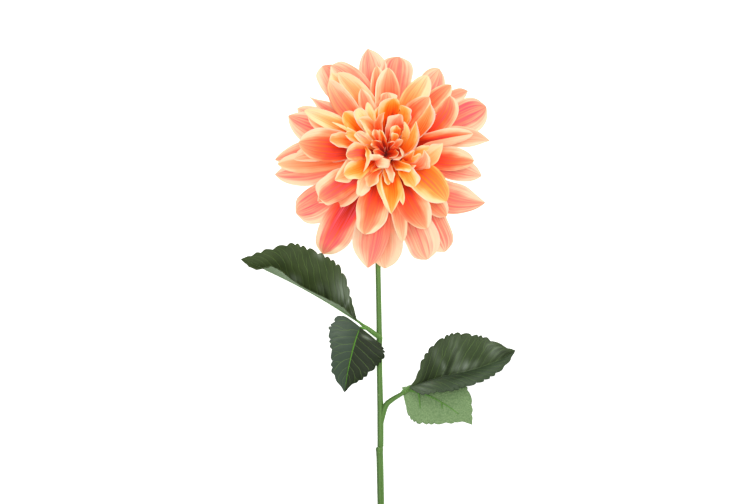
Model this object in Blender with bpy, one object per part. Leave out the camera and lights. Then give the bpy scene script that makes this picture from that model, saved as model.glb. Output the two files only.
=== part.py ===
# An artificial dahlia: one large bloom on a cut stem with four leaves.
# It lies on its back on the plane z = 0: the stem runs along -Y, and the bloom faces +Z.
# Lengths below are in millimetres and angles in degrees; the mesh is made in metres.
import math

import bmesh
import bpy
from mathutils import Vector

MM = 0.001
EYE = Vector((4.90, 112.05, 0.0))  # the bloom's axis, with the part's box centred on the origin

STEM_RADIUS = 2.45  # of the lower length, which rests on the table
LIP_RADIUS = 2.75  # of the socket at its top
NECK_RADIUS = 2.35
STEM_END_Y = -296.0  # the cut end
JOINT_Y = -206.5  # where the upper length plugs on to the lower one
STEM_TOP = 13.2  # height where the neck meets the calyx
BRANCH_SIDES = 8
GAP = 0.3  # clearance between neighbouring pieces
SHARP_ANGLE = math.radians(50)

CALYX_BASE = STEM_TOP + 0.8
BRACTS = 6
BRACT_ROOT = 5.0  # distance from the axis
BRACT_LENGTH = 15.0
BRACT_HALF_WIDTH = 4.8

PETAL_THICKNESS = 0.8
LEAF_THICKNESS = 0.8
RIB_RADIUS = 0.75  # of the moulded rib that carries each leaf blade
RIB_LIFT = RIB_RADIUS * 1.15 + 0.5 * LEAF_THICKNESS + GAP
CORE_PROFILE = [(10.0, 15.7), (13.0, 22.0), (12.5, 30.0), (9.5, 35.0), (5.0, 37.5)]

# The spread whorls' petals share a root ring (radius, height), the knee they bend over, as a share
# of the way out and a height above the root, how far the blade is cupped, where along it is widest
# and how bluntly it ends. A petal's own habit, given last in its row, overrides its whorl's.
OUTER = dict(root=(8.0, 22.0), knee=(0.55, 7.0), cup=34.0, widest=0.62, point=0.55, skew=0.0, across=4,
             stations=[0.0, 0.3, 0.58, 0.82, 1.0])
MIDDLE = dict(root=(8.0, 29.0), knee=(0.50, 17.0), cup=44.0, widest=0.62, point=0.55, skew=0.0, across=4,
              stations=[0.0, 0.3, 0.58, 0.82, 1.0])
INNER = dict(widest=0.55, point=0.8, across=2, stations=[0.0, 0.32, 0.6, 0.84, 1.0])
HEART = dict(widest=0.55, point=0.85, across=2, stations=[0.0, 0.35, 0.72, 1.0])
SPREAD_NECK = 0.25  # a petal's width at its root, as a share of its full width
CROWDED_NECK = 0.6

# Spread petals: turn about the axis, reach of the tip from it, blade width, height of the tip,
# swing of the root from the tip's direction, and how far the knee sways to one side.
OUTER_PETALS = [
    (24, 77, 26, -2, -4, 0, dict(widest=0.76, point=0.5)),
    (6, 73, 16, 7, 0, 7, dict(widest=0.68, point=1.0, skew=-0.3)),
    (-14, 69, 18, 4, 4, 0, dict(widest=0.7, point=0.7)),
    (-27, 78, 23, -2, -18, -10, dict(knee=(0.6, 7.0), point=0.8)),
    (-59, 81, 23, 3, 0, 7, dict(widest=0.75, point=0.4)),
    (-68.5, 80.5, 25, 9, 0, 0, dict(widest=0.82, point=0.45, skew=-0.1)),
    (-90, 81, 23, 4, 0, 2, dict(widest=0.74, point=0.42, cup=20.0)),
    (-98.5, 81.5, 27, 13, 0, -2, dict(widest=0.68, point=0.8)),
    (-121.5, 83, 26, -2, 0, -2, dict(widest=0.74, point=0.5)),
    (-145.5, 75, 25, 4, 0, 9, dict(knee=(0.62, 5.0), widest=0.75, point=0.3, cup=15.0)),
    (-168.5, 78, 21, -2, 0, 4, dict(point=0.7, skew=-0.2)),
    (-173.5, 75, 17, 9, 0, 4, dict(point=0.6)),
    (-176, 76.5, 21, 3, 0, -5, dict(widest=0.6, point=0.75)),
    (159.5, 71.5, 24, 5, 0, 1, dict(point=0.7, skew=-0.25)),
    (153.5, 68, 15, -2, 0, 0, dict()),
    (144, 65, 15, 9, 0, 0, dict(widest=0.55, point=1.5)),
    (126, 74, 18, -2, 0, 5, dict(widest=0.8, point=0.25)),
    (122, 70.5, 18, 8, -35, -4, dict(widest=0.75, point=0.3)),
    (99.5, 72.5, 22, 2, 0, 0, dict(widest=0.7, point=0.7, skew=0.12)),
    (82, 66.5, 26, 7, 0, 0, dict(widest=0.74, point=0.36)),
    (57, 69, 23, -2, 0, 0, dict(widest=0.72, point=0.6, skew=0.1)),
    (36.5, 70, 10, 9, 12, 6, dict(widest=0.85, point=0.35)),
]
MIDDLE_PETALS = [
    (45, 64.5, 16, 20, 0, 0, dict(point=0.5)),
    (40, 58.5, 16, 30, -40, 0, dict(knee=(0.86, 10.0))),
    (11, 61.5, 20, 29, 0, 0, dict(skew=0.25)),
    (-6, 61.5, 18, 20, 0, -3, dict(widest=0.65, point=0.5)),
    (-39.5, 54.5, 24, 33, 8, 3, dict(knee=(0.5, 20.0), point=0.6)),
    (-46.5, 61.5, 19, 20, 0, 0, dict(knee=(0.5, 15.0), point=0.45)),
    (-61.5, 60.5, 23, 29, 0, 0, dict(skew=0.08)),
    (-79, 63.5, 14, 24, 0, 0, dict()),
    (-104, 59, 24, 31, 4, 2, dict(point=0.4)),
    (-132, 53, 19, 19, 0, 0, dict(point=0.45)),
    (-141, 56, 10, 14, 0, 0, dict()),
    (-145.5, 54, 26, 27, 0, 2, dict(point=0.3)),
    (174.5, 59.5, 25, 32, 0, 0, dict(knee=(0.5, 19.0), widest=0.68, point=0.6)),
    (-175, 63, 14, 18, 0, 0, dict(point=0.5, skew=0.5)),
    (155.5, 58, 17, 20, 0, 0, dict()),
    (153.5, 62, 13, 31, -4, -3, dict()),
    (128.5, 61.5, 20, 29, 4, 0, dict(knee=(0.5, 19.5), point=0.6)),
    (124.5, 65.5, 17, 17, 4, 1, dict(knee=(0.5, 15.0))),
    (121, 63, 16, 23, -26, -3, dict(knee=(0.5, 14.5))),
    (95.5, 59, 13, 18, 0, 0, dict()),
    (88, 57, 18.5, 29, 0, 0, dict(widest=0.6)),
    (60.5, 59.5, 19, 26, 0, 0, dict()),
    (50.5, 47.5, 17, 37, 6, 0, dict()),
]

# The inner petals crowd each other, so each is set by five places: its root, its left margin, rib
# and right margin half way out, as seen looking out along it, and its tip.
INNER_PETALS = [
    ((0.5, 8, 33), (-5.5, 31, 40), (0.7, 29, 39), (8, 31, 40), (2, 40, 41), dict()),
    ((5, 7, 33), (8, 22, 42), (13, 22.5, 42), (18.5, 22.5, 43), (11, 31.5, 42), dict()),
    ((0.7, 5, 33), (-5, 27, 47), (2, 25, 42), (9.5, 27.5, 46), (5.5, 36, 46), dict(point=0.7)),
    ((9, 0, 31), (19, 17, 42), (25, 14, 41), (32.5, 17, 46), (31.5, 32, 42),
     dict(widest=0.5, point=1.0)),
    ((9, -5, 32), (25, -0.5, 44), (27, -6, 41.5), (30, -11, 44), (40, 5, 43), dict(widest=0.65)),
    ((-9, 2, 33), (-25, 1.5, 43), (-26, 6, 40.5), (-26, 12, 45.5), (-38.5, 7, 43),
     dict(widest=0.65, point=0.45)),
    ((-4, 8, 33), (-16, 25, 41), (-11, 26, 41.5), (-6.5, 28, 41), (-16.5, 43, 42),
     dict(widest=0.65, point=0.9)),
    ((-7, 5, 33), (-23, 12, 43), (-19, 17, 41), (-14.5, 20, 44), (-28.5, 26.5, 44),
     dict(widest=0.65, point=0.4)),
    ((-6, 7, 33), (-18, 17, 46), (-13.5, 18.5, 44), (-10, 21, 47), (-19.5, 29, 48),
     dict(widest=0.65, point=0.4)),
    ((-4, 8, 33), (-12, 22, 44), (-9, 21, 45.5), (-6.5, 22, 44), (-12, 33.5, 47),
     dict(widest=0.65)),
    ((-8, -5, 32), (-18, -18, 43), (-20, -12, 41.5), (-22, -5.5, 44), (-35, -20.5, 41),
     dict(widest=0.65)),
    ((-7, -5, 33), (-15, -18, 45.5), (-16.5, -11, 45), (-18, -4.5, 48), (-29, -16.5, 47),
     dict(widest=0.62, point=0.45)),
    ((-5, -7, 33), (-8.5, -20.5, 43), (-12.5, -19, 43.5), (-16.5, -18.5, 43), (-18, -32, 41),
     dict(widest=0.72, point=0.4)),
    ((-3, -8, 33), (-3, -16.5, 46.5), (-7, -16.5, 45), (-11.5, -16, 46), (-11, -26, 46),
     dict(widest=0.65, point=0.5)),
    ((1, -8, 33), (11.5, -25, 45), (3.5, -26, 43.5), (-4, -26, 45), (4, -44, 42), dict(point=0.9)),
    ((8, -8, 34), (15.5, -5.5, 48), (17.5, -9, 46), (19.5, -12, 46), (25, -2, 50),
     dict(widest=0.65)),
    ((9, -9, 34), (20.5, -7.5, 48.5), (24, -11, 47), (30, -13, 48.5), (27, 0.5, 52),
     dict(point=0.9)),
    ((5, -7, 34), (19, -12, 46.5), (14, -14, 45), (10.5, -18, 47), (20.5, -25.5, 42),
     dict(widest=0.7, point=0.4)),
    ((5, -6, 34), (10, -7, 51), (11, -10.5, 48), (10.5, -14.5, 48.5), (19, -12, 49),
     dict(point=0.4)),
]
HEART_PETALS = [
    ((8, -3, 34), (13.5, 7, 47), (17, 4, 46), (23, 3.5, 51), (21.5, 20, 50),
     dict(widest=0.5, point=1.0)),
    ((7, 0, 34), (11.5, 9.5, 50), (15, 7.5, 53.5), (16.5, 9, 48.5), (13, 20, 53), dict()),
    ((2.5, 3, 34), (0.5, 18, 50), (6, 14, 45), (12.5, 15, 50), (10.5, 25, 50), dict(point=0.8)),
    ((4.5, 3, 36), (3, 11.5, 51), (7, 10.5, 49), (10.5, 11.5, 51), (7.5, 17.5, 53),
     dict(point=0.8)),
    ((-1.5, 5, 34), (-8, 17.5, 51), (-4.5, 16, 49.5), (-1.5, 16, 48), (-0.5, 26.5, 52),
     dict(point=1.3)),
    ((3, -3, 34), (8, 2, 53), (11.5, -1.5, 47), (6, -7, 52), (12.5, -4.5, 54), dict()),
    ((-4, 7, 35), (-12, 14, 49), (-10, 17, 47), (-9, 21, 51), (-18.5, 21.5, 50), dict(widest=0.6)),
    ((-6, 1, 35), (-16.5, 4.5, 51), (-13.5, 6.5, 49), (-10.5, 9.5, 52), (-20.5, 12.5, 51),
     dict(point=0.35)),
    ((-7, -2, 34), (-16, -7, 49), (-17, -1.5, 46.5), (-17, 5, 51), (-27.5, -3.5, 48),
     dict(widest=0.65, point=0.45)),
    ((-1, 0, 34), (-8, 8.5, 52), (-5.5, 7.5, 54.5), (-3.2, 8, 53), (-6.5, 14.5, 54),
     dict(point=0.4)),
    ((0.5, 0, 34), (-3.4, 8.5, 54), (-1.4, 7.5, 51.5), (1.2, 6.5, 52), (-3.5, 14.5, 54.5),
     dict(point=0.5)),
    ((-4, -5, 34), (-10.5, -6, 53), (-6, -7, 52), (-1.4, -6, 54), (-6, -2.2, 56), dict(point=0.35)),
    ((0, -5, 35), (4.5, -17, 47), (1.5, -17, 45.5), (-1.5, -16.5, 46.5), (2, -24.5, 46), dict()),
    ((0, -5, 36), (6, -14.5, 50), (3.2, -15, 51), (0.5, -14.5, 50), (5, -23, 47), dict()),
    ((-7, -6, 36), (-2.5, -5, 54), (-2.7, -9, 56), (-2.7, -12.5, 53), (4, -9, 53), dict(point=0.3)),
]

TOOTH_DEPTH = 1.6
# Leaves: four points that steer the midrib (x, y from the eye, z above the table). Each half has
# rows, evenly stepped from root to tip: where along the midrib its margin is, how far out, and how
# steeply the half rises from the midrib; bend is how much that changes to the left and right
# margins. The stem's rib runs under the blade, or over one that lies face down.
LEAVES = {
    "leaf_upper_left": dict(
        rib_side=-1, teeth=16, bend=(-10.0, -14.0),
        rib=[(-19.5, -118.0, 5.6), (-50.0, -98.0, 3.4), (-70.0, -88.0, 3.4), (-101.0, -75.0, 5.0)],
        left=[(0, 0, 100), (0.1, 9, 112), (0.2, 15, 105), (0.3, 18, 101), (0.4, 19, 99), (0.5, 19, 99),
              (0.6, 18, 103), (0.7, 17, 110), (0.8, 13, 108), (0.9, 5, 60), (1, 0, 20)],
        right=[(0, 0, 24), (0.105, 11.3, 24), (0.2, 21.2, 24), (0.3, 27.8, 24), (0.4, 29.1, 24),
               (0.5, 29, 24), (0.6, 28.2, 24), (0.7, 26.4, 24), (0.8, 19.2, 24), (0.9, 10.6, 22),
               (1, 0, 20)]),
    "leaf_middle_left": dict(
        rib_side=-1, teeth=12, bend=(-14.0, -18.0),
        rib=[(-17.4, -122.6, 7.8), (-22.0, -134.0, 10.0), (-26.0, -150.0, 11.0), (-28.2, -168.0, 7.6)],
        left=[(0, 0, 8), (0.12, 15, 8), (0.2, 19.6, 8), (0.3, 22.4, 8), (0.4, 22.8, 8), (0.5, 21, 8),
              (0.6, 18.2, 8), (0.7, 14.9, 8), (0.8, 11, 8), (0.88, 5.1, 8), (1, 0, 8)],
        right=[(0, 0, 26), (-0.05, 16.5, 26), (0.12, 20.5, 26), (0.2, 21.7, 26), (0.3, 19.6, 26),
               (0.4, 17.4, 26), (0.5, 15.1, 26), (0.62, 13.6, 26), (0.77, 11.2, 24), (0.9, 5.1, 20),
               (1, 0, 16)]),
    "leaf_upper_right": dict(
        rib_side=-1, teeth=15, bend=(-44.0, -92.0),
        rib=[(17.0, -164.4, 8.0), (40.0, -154.5, 9.5), (66.0, -156.0, 12.0), (91.0, -138.6, 9.0)],
        left=[(0, 0, 40), (0.09, 5.3, 40), (0.19, 17.3, 40), (0.29, 24.9, 40), (0.4, 29.4, 40),
              (0.5, 31.2, 40), (0.61, 29.4, 40), (0.72, 25.4, 40), (0.81, 21, 38), (0.91, 11.5, 34),
              (1, 0, 30)],
        right=[(0, 0, 40), (0.08, 8.7, 62), (0.19, 13.4, 88), (0.3, 17, 96), (0.4, 18, 94),
               (0.5, 15.5, 90), (0.6, 14.2, 84), (0.7, 11.8, 74), (0.8, 9, 60), (0.9, 5.6, 50),
               (1, 0, 40)]),
    "leaf_lower_right": dict(
        rib_side=1, teeth=11, bend=(0.0, 0.0),
        rib=[(12.8, -166.8, 3.0), (28.0, -166.0, 2.8), (46.0, -178.0, 2.4), (61.0, -191.0, 1.4)],
        left=[(-0.02, 2.6, -1), (0.08, 5, -1), (0.2, 10, -1), (0.3, 15, -1), (0.42, 18.2, -1),
              (0.54, 19.3, -1), (0.64, 19.3, -1), (0.73, 18.2, -1), (0.82, 13.7, -1), (0.92, 6.7, -1),
              (1, 0, -1)],
        right=[(0, 1.4, -1), (0.1, 11.9, -1), (0.2, 17.5, -1), (0.3, 20, -1), (0.4, 20.7, -1),
               (0.5, 19.3, -1), (0.6, 16.7, -1), (0.7, 13, -1), (0.8, 8.4, -1), (0.89, 2.9, -1),
               (1, 0, -1)]),
}


def clear_scene():
    for item in list(bpy.data.objects):
        bpy.data.objects.remove(item, do_unlink=True)


def material(name, colour, roughness):
    finish = bpy.data.materials.new(name)
    finish.use_nodes = True
    shader = finish.node_tree.nodes["Principled BSDF"]
    shader.inputs["Base Color"].default_value = (*colour, 1.0)
    shader.inputs["Roughness"].default_value = roughness
    finish.diffuse_color = (*colour, 1.0)
    return finish


def place(point):
    """Turn millimetres from the eye into metres from the part's origin."""
    return (Vector(point) + EYE) * MM


def add_object(name, mesh, finish):
    item = bpy.data.objects.new(name, mesh)
    bpy.context.scene.collection.objects.link(item)
    mesh.materials.clear()
    mesh.materials.append(finish)
    return item


def bezier(points, t):
    """A point on the curve that four points steer, and the curve's direction there."""
    a, b, c, d = [Vector(point) for point in points]
    u = 1.0 - t
    spot = a * u ** 3 + b * 3 * u * u * t + c * 3 * u * t * t + d * t ** 3
    way = (b - a) * u * u + (c - b) * 2 * u * t + (d - c) * t * t
    return spot, way.normalized()


def blade_mesh(name, across, stations, surface):
    """A thin blade: a flat grid, moved by its surface formula and split into triangles."""
    along = len(stations) - 1
    bm = bmesh.new()
    bmesh.ops.create_grid(bm, x_segments=across, y_segments=along, size=1.0)
    for vert in bm.verts:
        row = round((vert.co.y + 1.0) * 0.5 * along)
        vert.co = place(surface(vert.co.x, stations[row]))
    bmesh.ops.triangulate(bm, faces=bm.faces[:], quad_method="FIXED")
    mesh = bpy.data.meshes.new(name)
    bm.to_mesh(mesh)
    bm.free()
    return mesh


def smooth(item):
    """Shade the rounded faces smooth, and keep the edges of the blades sharp."""
    item.data.shade_smooth()
    item.data.set_sharp_from_angle(angle=SHARP_ANGLE)


def thicken(item, thickness):
    shell = item.modifiers.new("Thickness", "SOLIDIFY")
    shell.thickness = thickness * MM
    shell.offset = 0.0
    shell.use_even_offset = False
    shell.use_rim = True


def blade_width(t, widest, neck, point):
    """Share of the full width: from a narrow neck to the widest place, then in to the tip."""
    if t < widest:
        return neck + (1.0 - neck) * math.sin(0.5 * math.pi * t / widest) ** 1.4
    u = (t - widest) / (1.0 - widest)
    return max(math.cos(0.5 * math.pi * u) ** point, 0.07)


def polar(radius, turn, height):
    angle = math.radians(turn)
    return Vector((radius * math.cos(angle), radius * math.sin(angle), height))


def spread_surface(habit, turn, reach, width, tip_height, swing, sway):
    """A petal that bends from its root over a knee, with an arc for a cross-section."""
    root_radius, root_height = habit["root"]
    knee_share, knee_lift = habit["knee"]
    root = polar(root_radius, turn + swing, root_height)
    knee = polar(root_radius + (reach - root_radius) * knee_share, turn + swing / 2 + sway,
                 root_height + knee_lift)
    tip = polar(reach, turn, tip_height)
    outward = (tip - root).normalized()
    cup = math.radians(habit["cup"])

    def surface(s, t):
        middle = root * (1 - t) ** 2 + knee * 2 * t * (1 - t) + tip * t * t
        way = ((knee - root) * (1 - t) + (tip - knee) * t).normalized()
        heading = way + outward * 0.25
        side = Vector((heading.y, -heading.x, 0.0)).normalized()  # to the right, looking out
        side = (side - way * side.dot(way)).normalized()
        face = side.cross(way)
        half = 0.5 * width * blade_width(t, habit["widest"], SPREAD_NECK, habit["point"])
        half *= 1.0 + math.copysign(habit["skew"], s) * min(1.0, 2.0 * t)
        bend = cup * (1.0 - 0.3 * t)
        bow = half / bend  # radius of the arc
        spot = middle + side * bow * math.sin(bend * s) + face * bow * (1 - math.cos(bend * s))
        spot.z = max(spot.z, 0.5 * PETAL_THICKNESS)  # a low tip lies flat on the table
        return spot

    return surface


def crowded_surface(habit, *places):
    """A petal through five places, with a parabola for a cross-section."""
    root, left, rib, right, tip = [Vector(spot) for spot in places]
    knee = rib * 2 - (root + tip) / 2  # so that the rib passes through its own place half way out
    fullest = blade_width(0.5, habit["widest"], CROWDED_NECK, habit["point"])

    def surface(s, t):
        middle = root * (1 - t) ** 2 + knee * 2 * t * (1 - t) + tip * t * t
        arm = (right - left) * (s / 2) + ((right + left) / 2 - rib) * s * s
        return middle + arm * (blade_width(t, habit["widest"], CROWDED_NECK, habit["point"]) / fullest)

    return surface


def turned(name, profile, sides):
    """A closed turned body from (radius, height) pairs, about the bloom's axis."""
    bm = bmesh.new()
    points = [(0.0, profile[0][1])] + profile + [(0.0, profile[-1][1])]
    ring = [bm.verts.new(place((radius, 0.0, height))) for radius, height in points]
    edges = [bm.edges.new(pair) for pair in zip(ring, ring[1:])]
    bmesh.ops.spin(bm, geom=ring + edges, cent=place((0, 0, 0)), axis=(0, 0, 1),
                   angle=2 * math.pi, steps=sides, use_merge=True)
    bmesh.ops.remove_doubles(bm, verts=bm.verts[:], dist=1e-6)
    bmesh.ops.recalc_face_normals(bm, faces=bm.faces[:])
    mesh = bpy.data.meshes.new(name)
    bm.to_mesh(mesh)
    bm.free()
    return mesh


def fuse(item, extras, solver):
    """Join the extra bodies to the item by one Boolean union, then remove them."""
    group = bpy.data.collections.new(item.name + "_extras")
    bpy.context.scene.collection.children.link(group)
    for extra in extras:
        bpy.context.scene.collection.objects.unlink(extra)
        group.objects.link(extra)
    union = item.modifiers.new("Union", "BOOLEAN")
    union.operation = "UNION"
    union.operand_type = "COLLECTION"
    union.collection = group
    union.solver = solver
    bpy.context.view_layer.update()
    joined = bpy.data.meshes.new_from_object(item.evaluated_get(bpy.context.evaluated_depsgraph_get()))
    item.modifiers.clear()
    item.data = joined
    for extra in extras:
        bpy.data.objects.remove(extra, do_unlink=True)
    bpy.data.collections.remove(group)


def tube_object(name, path, radii, sides, finish):
    """A round rod along a path, as a mesh with closed ends."""
    curve = bpy.data.curves.new(name, "CURVE")
    curve.dimensions = "3D"
    curve.bevel_depth = MM
    curve.bevel_resolution = sides // 2 - 2
    curve.use_fill_caps = True
    spline = curve.splines.new("POLY")
    spline.points.add(len(path) - 1)
    for point, spot, radius in zip(spline.points, path, radii):
        point.co = (*place(spot), 1.0)
        point.radius = radius
    guide = bpy.data.objects.new(name + "_guide", curve)
    bpy.context.scene.collection.objects.link(guide)
    bpy.context.view_layer.update()
    mesh = bpy.data.meshes.new_from_object(guide.evaluated_get(bpy.context.evaluated_depsgraph_get()))
    bpy.data.objects.remove(guide, do_unlink=True)
    bm = bmesh.new()
    bm.from_mesh(mesh)
    bmesh.ops.remove_doubles(bm, verts=bm.verts[:], dist=1e-6)
    bmesh.ops.recalc_face_normals(bm, faces=bm.faces[:])
    bm.to_mesh(mesh)
    bm.free()
    return add_object(name, mesh, finish)


def smooth_path(points, count):
    """Evenly stepped points on a smooth curve through the given ones."""
    spots = [Vector(point) for point in points]
    spots = [spots[0] * 2 - spots[1]] + spots + [spots[-1] * 2 - spots[-2]]
    path = []
    spans = len(points) - 1
    for step in range(count + 1):
        at = min(step * spans / count, spans - 1e-9)
        k = int(at)
        t = at - k
        a, b, c, d = spots[k:k + 4]
        path.append(0.5 * (b * 2 + (c - a) * t + (a * 2 - b * 5 + c * 4 - d) * t * t
                           + (b * 3 - a - c * 3 + d) * t ** 3))
    return path


def build_stem_lower(finish):
    lip_y = JOINT_Y - GAP - 1.4
    path = [(-1.8, STEM_END_Y, STEM_RADIUS), (-3.6, lip_y - 1.6, STEM_RADIUS),
            (-3.85, lip_y, LIP_RADIUS), (-3.85, JOINT_Y - GAP, LIP_RADIUS)]
    radii = [STEM_RADIUS, STEM_RADIUS, LIP_RADIUS, LIP_RADIUS]
    stem = tube_object("stem_lower", path, radii, 12, finish)
    smooth(stem)
    return stem


def rib_path(leaf, lift, count, share):
    """Points along a leaf's midrib, moved off its blade by lift."""
    path = []
    for step in range(count + 1):
        spot, way = bezier(leaf["rib"], share * step / count)
        level = Vector((0, 0, 1)).cross(way).normalized()
        path.append(spot + way.cross(level) * lift)
    return path


def build_stem_upper(finish):
    # x, y, z and radius: the straight length, which thins towards the bloom, then the neck
    length = [
        (-3.2, JOINT_Y, 2.45, 2.2), (-3.15, -200.0, 2.4, 2.2), (-3.2, -185.0, 2.35, 2.25),
        (-3.4, -174.0, 2.25, 2.15), (-3.8, -154.0, 2.15, 2.0), (-3.9, -130.0, 2.1, 2.05),
        (-4.0, -126.0, 2.0, 1.95), (-4.4, -104.0, 1.95, 1.9), (-4.9, -80.0, 1.95, 1.85)]
    neck = smooth_path([(-4.4, -46.0, NECK_RADIUS), (-3.2, -24.0, 2.9), (-1.4, -9.0, 5.4),
                        (-0.2, -1.4, 10.0), (0.0, 0.0, STEM_TOP)], 12)
    path = [point[:3] for point in length] + neck
    radii = [point[3] for point in length] + [2.1, 2.2] + [NECK_RADIUS] * (len(neck) - 2)
    stem = tube_object("stem_upper", path, radii, 12, finish)
    left_stalk = smooth_path([(-3.6, -129.8, 2.8), (-7.2, -127.2, 4.2), (-11.6, -123.8, 5.0),
                              (-17.0, -120.1, 4.4)], 6)
    right_stalk = smooth_path([(-2.9, -192.0, 2.5), (-1.0, -182.0, 3.0), (1.8, -175.6, 3.8),
                               (7.6, -171.4, 5.0), (16.0, -166.6, 5.4)], 8)
    stalks = [
        tube_object("stalk_left", left_stalk, [1.8, 1.8, 1.75, 1.7, 1.6, 1.45, 1.3], BRANCH_SIDES, finish),
        tube_object("stalk_right", right_stalk, [0.9, 1.6, 2.0, 2.0, 1.9, 1.75, 1.6, 1.45, 1.3],
                    BRANCH_SIDES, finish)]
    for name, leaf in LEAVES.items():
        start = left_stalk[-2] if name.endswith("left") else right_stalk[-2]
        path = [start] + rib_path(leaf, leaf["rib_side"] * RIB_LIFT, 5, 0.7)
        radii = [RIB_RADIUS * (1.15 - 0.09 * step) for step in range(len(path))]
        stalks.append(tube_object(name + "_rib", path, radii, 6, finish))
    fuse(stem, stalks, "EXACT")
    smooth(stem)
    return stem


def bract_surface(turn):
    """A small pointed bract that spreads from the cup under the petals."""
    out = Vector((math.cos(turn), math.sin(turn), 0.0))
    side = Vector((-math.sin(turn), math.cos(turn), 0.0))

    def surface(s, t):
        half = BRACT_HALF_WIDTH * blade_width(t, 0.4, 0.7, 0.9)
        height = CALYX_BASE + 0.6 + 3.0 * t ** 3 + 1.2 * s * s * t * t  # the tip turns up
        return out * (BRACT_ROOT + BRACT_LENGTH * t) + side * half * s + Vector((0, 0, height))

    return surface


def build_calyx(finish):
    profile = [(3.6, CALYX_BASE), (7.0, CALYX_BASE + 0.4), (9.0, CORE_PROFILE[0][1] - GAP)]
    calyx = add_object("calyx", turned("calyx", profile, 12), finish)
    bracts = []
    for step in range(BRACTS):
        surface = bract_surface(2 * math.pi * (step + 0.5) / BRACTS)
        mesh = blade_mesh("bract", 2, [0.0, 0.4, 0.75, 1.0], surface)
        bract = add_object("bract", mesh, finish)
        thicken(bract, LEAF_THICKNESS)
        bracts.append(bract)
    fuse(calyx, bracts, "EXACT")
    smooth(calyx)
    return calyx


def build_bloom(finish):
    bloom = add_object("bloom", turned("bloom", CORE_PROFILE, 12), finish)
    petals = []
    whorls = [(OUTER, OUTER_PETALS, spread_surface), (MIDDLE, MIDDLE_PETALS, spread_surface),
              (INNER, INNER_PETALS, crowded_surface), (HEART, HEART_PETALS, crowded_surface)]
    for whorl, rows, shape in whorls:
        for *places, own in rows:
            surface = shape(dict(whorl, **own), *places)
            mesh = blade_mesh("petal", whorl["across"], whorl["stations"], surface)
            petal = add_object("petal", mesh, finish)
            thicken(petal, PETAL_THICKNESS)
            petals.append(petal)
    fuse(bloom, petals, "EXACT")
    smooth(bloom)
    return bloom


def between(rows, t):
    """A smooth course through evenly stepped rows."""
    at = min(t * (len(rows) - 1), len(rows) - 1.001)
    k = int(at)
    u = at - k
    near = [rows[min(max(k + step, 0), len(rows) - 1)] for step in (-1, 0, 1, 2)]
    return [0.5 * (b * 2 + (c - a) * u + (a * 2 - b * 5 + c * 4 - d) * u * u
                   + (b * 3 - a - c * 3 + d) * u ** 3) for a, b, c, d in zip(*near)]


def leaf_surface(leaf):
    """Blade of a leaf: s runs from the left margin (-1) over the midrib (0) to the right one."""
    length = (Vector(leaf["rib"][3]) - Vector(leaf["rib"][0])).length

    def surface(s, t):
        middle, way = bezier(leaf["rib"], t)
        level = Vector((0, 0, 1)).cross(way).normalized()  # to the left, seen from above
        face = way.cross(level)
        share = abs(s)
        rows = leaf["left" if s < 0 else "right"]
        ahead, width, rise = between(rows, t)
        back, inner, _ = between(rows, max(t - 0.02, 0.0))
        front, outer, _ = between(rows, min(t + 0.02, 1.0))
        course = Vector(((front - back) * length, outer - inner)).normalized()  # of the margin
        notch = share > 0.99 and (t * leaf["teeth"]) % 1.0 < 0.25 and 0.08 < t < 0.95
        inset = TOOTH_DEPTH if notch else 0.0
        width = max(width - inset * course.x, 0.3)
        start = math.radians(rise)
        change = math.radians(leaf["bend"][s > 0])
        if abs(change) > 1e-6:
            out = (math.sin(start + change * share) - math.sin(start)) / change
            up = (math.cos(start) - math.cos(start + change * share)) / change
        else:
            out = share * math.cos(start)
            up = share * math.sin(start)
        outward = level if s < 0 else -level
        along = (ahead - t) * length * share + inset * course.y
        spot = middle + outward * (width * out) + face * (width * up) + way * along
        spot.z = max(spot.z, 0.5 * LEAF_THICKNESS)
        return spot

    return surface


def build_leaf(name, leaf, finish):
    steps = 2 * leaf["teeth"]
    mesh = blade_mesh(name, 4, [step / steps for step in range(steps + 1)], leaf_surface(leaf))
    item = add_object(name, mesh, finish)
    smooth(item)
    thicken(item, LEAF_THICKNESS)
    return item


def build():
    clear_scene()
    green = material("stem_green", (0.13, 0.26, 0.06), 0.5)
    dark_leaf = material("leaf_dark", (0.03, 0.06, 0.02), 0.45)
    pale_leaf = material("leaf_pale", (0.18, 0.33, 0.12), 0.75)
    petal_colour = material("petal_coral", (0.95, 0.36, 0.16), 0.7)
    build_stem_lower(green)
    build_stem_upper(green)
    build_calyx(green)
    build_bloom(petal_colour)
    for name, leaf in LEAVES.items():
        build_leaf(name, leaf, pale_leaf if name == "leaf_lower_right" else dark_leaf)


build()
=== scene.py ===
import math

import bmesh
import bpy
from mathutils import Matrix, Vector


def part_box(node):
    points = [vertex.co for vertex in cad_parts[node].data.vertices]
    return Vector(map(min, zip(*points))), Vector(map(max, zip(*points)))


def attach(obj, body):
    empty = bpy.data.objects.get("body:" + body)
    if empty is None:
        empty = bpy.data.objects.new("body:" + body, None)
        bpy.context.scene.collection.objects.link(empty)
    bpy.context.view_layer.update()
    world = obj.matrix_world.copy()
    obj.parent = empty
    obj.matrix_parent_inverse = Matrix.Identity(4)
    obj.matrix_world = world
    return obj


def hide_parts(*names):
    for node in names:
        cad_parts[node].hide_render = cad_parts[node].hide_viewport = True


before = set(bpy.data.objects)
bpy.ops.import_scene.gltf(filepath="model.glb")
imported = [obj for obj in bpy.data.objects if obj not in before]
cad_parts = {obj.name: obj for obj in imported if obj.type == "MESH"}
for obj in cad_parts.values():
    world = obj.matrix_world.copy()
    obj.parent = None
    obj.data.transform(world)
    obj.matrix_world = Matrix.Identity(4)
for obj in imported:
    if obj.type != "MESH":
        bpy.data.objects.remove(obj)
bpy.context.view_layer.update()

# An artificial dahlia lying on its back. Lengths are in millimetres and angles in degrees, as a
# florist's pattern would give them, and become metres where a mesh is placed.
mm = 0.001
tableGap = 0.4  # the lowest that a petal or a leaf comes to the table
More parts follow.
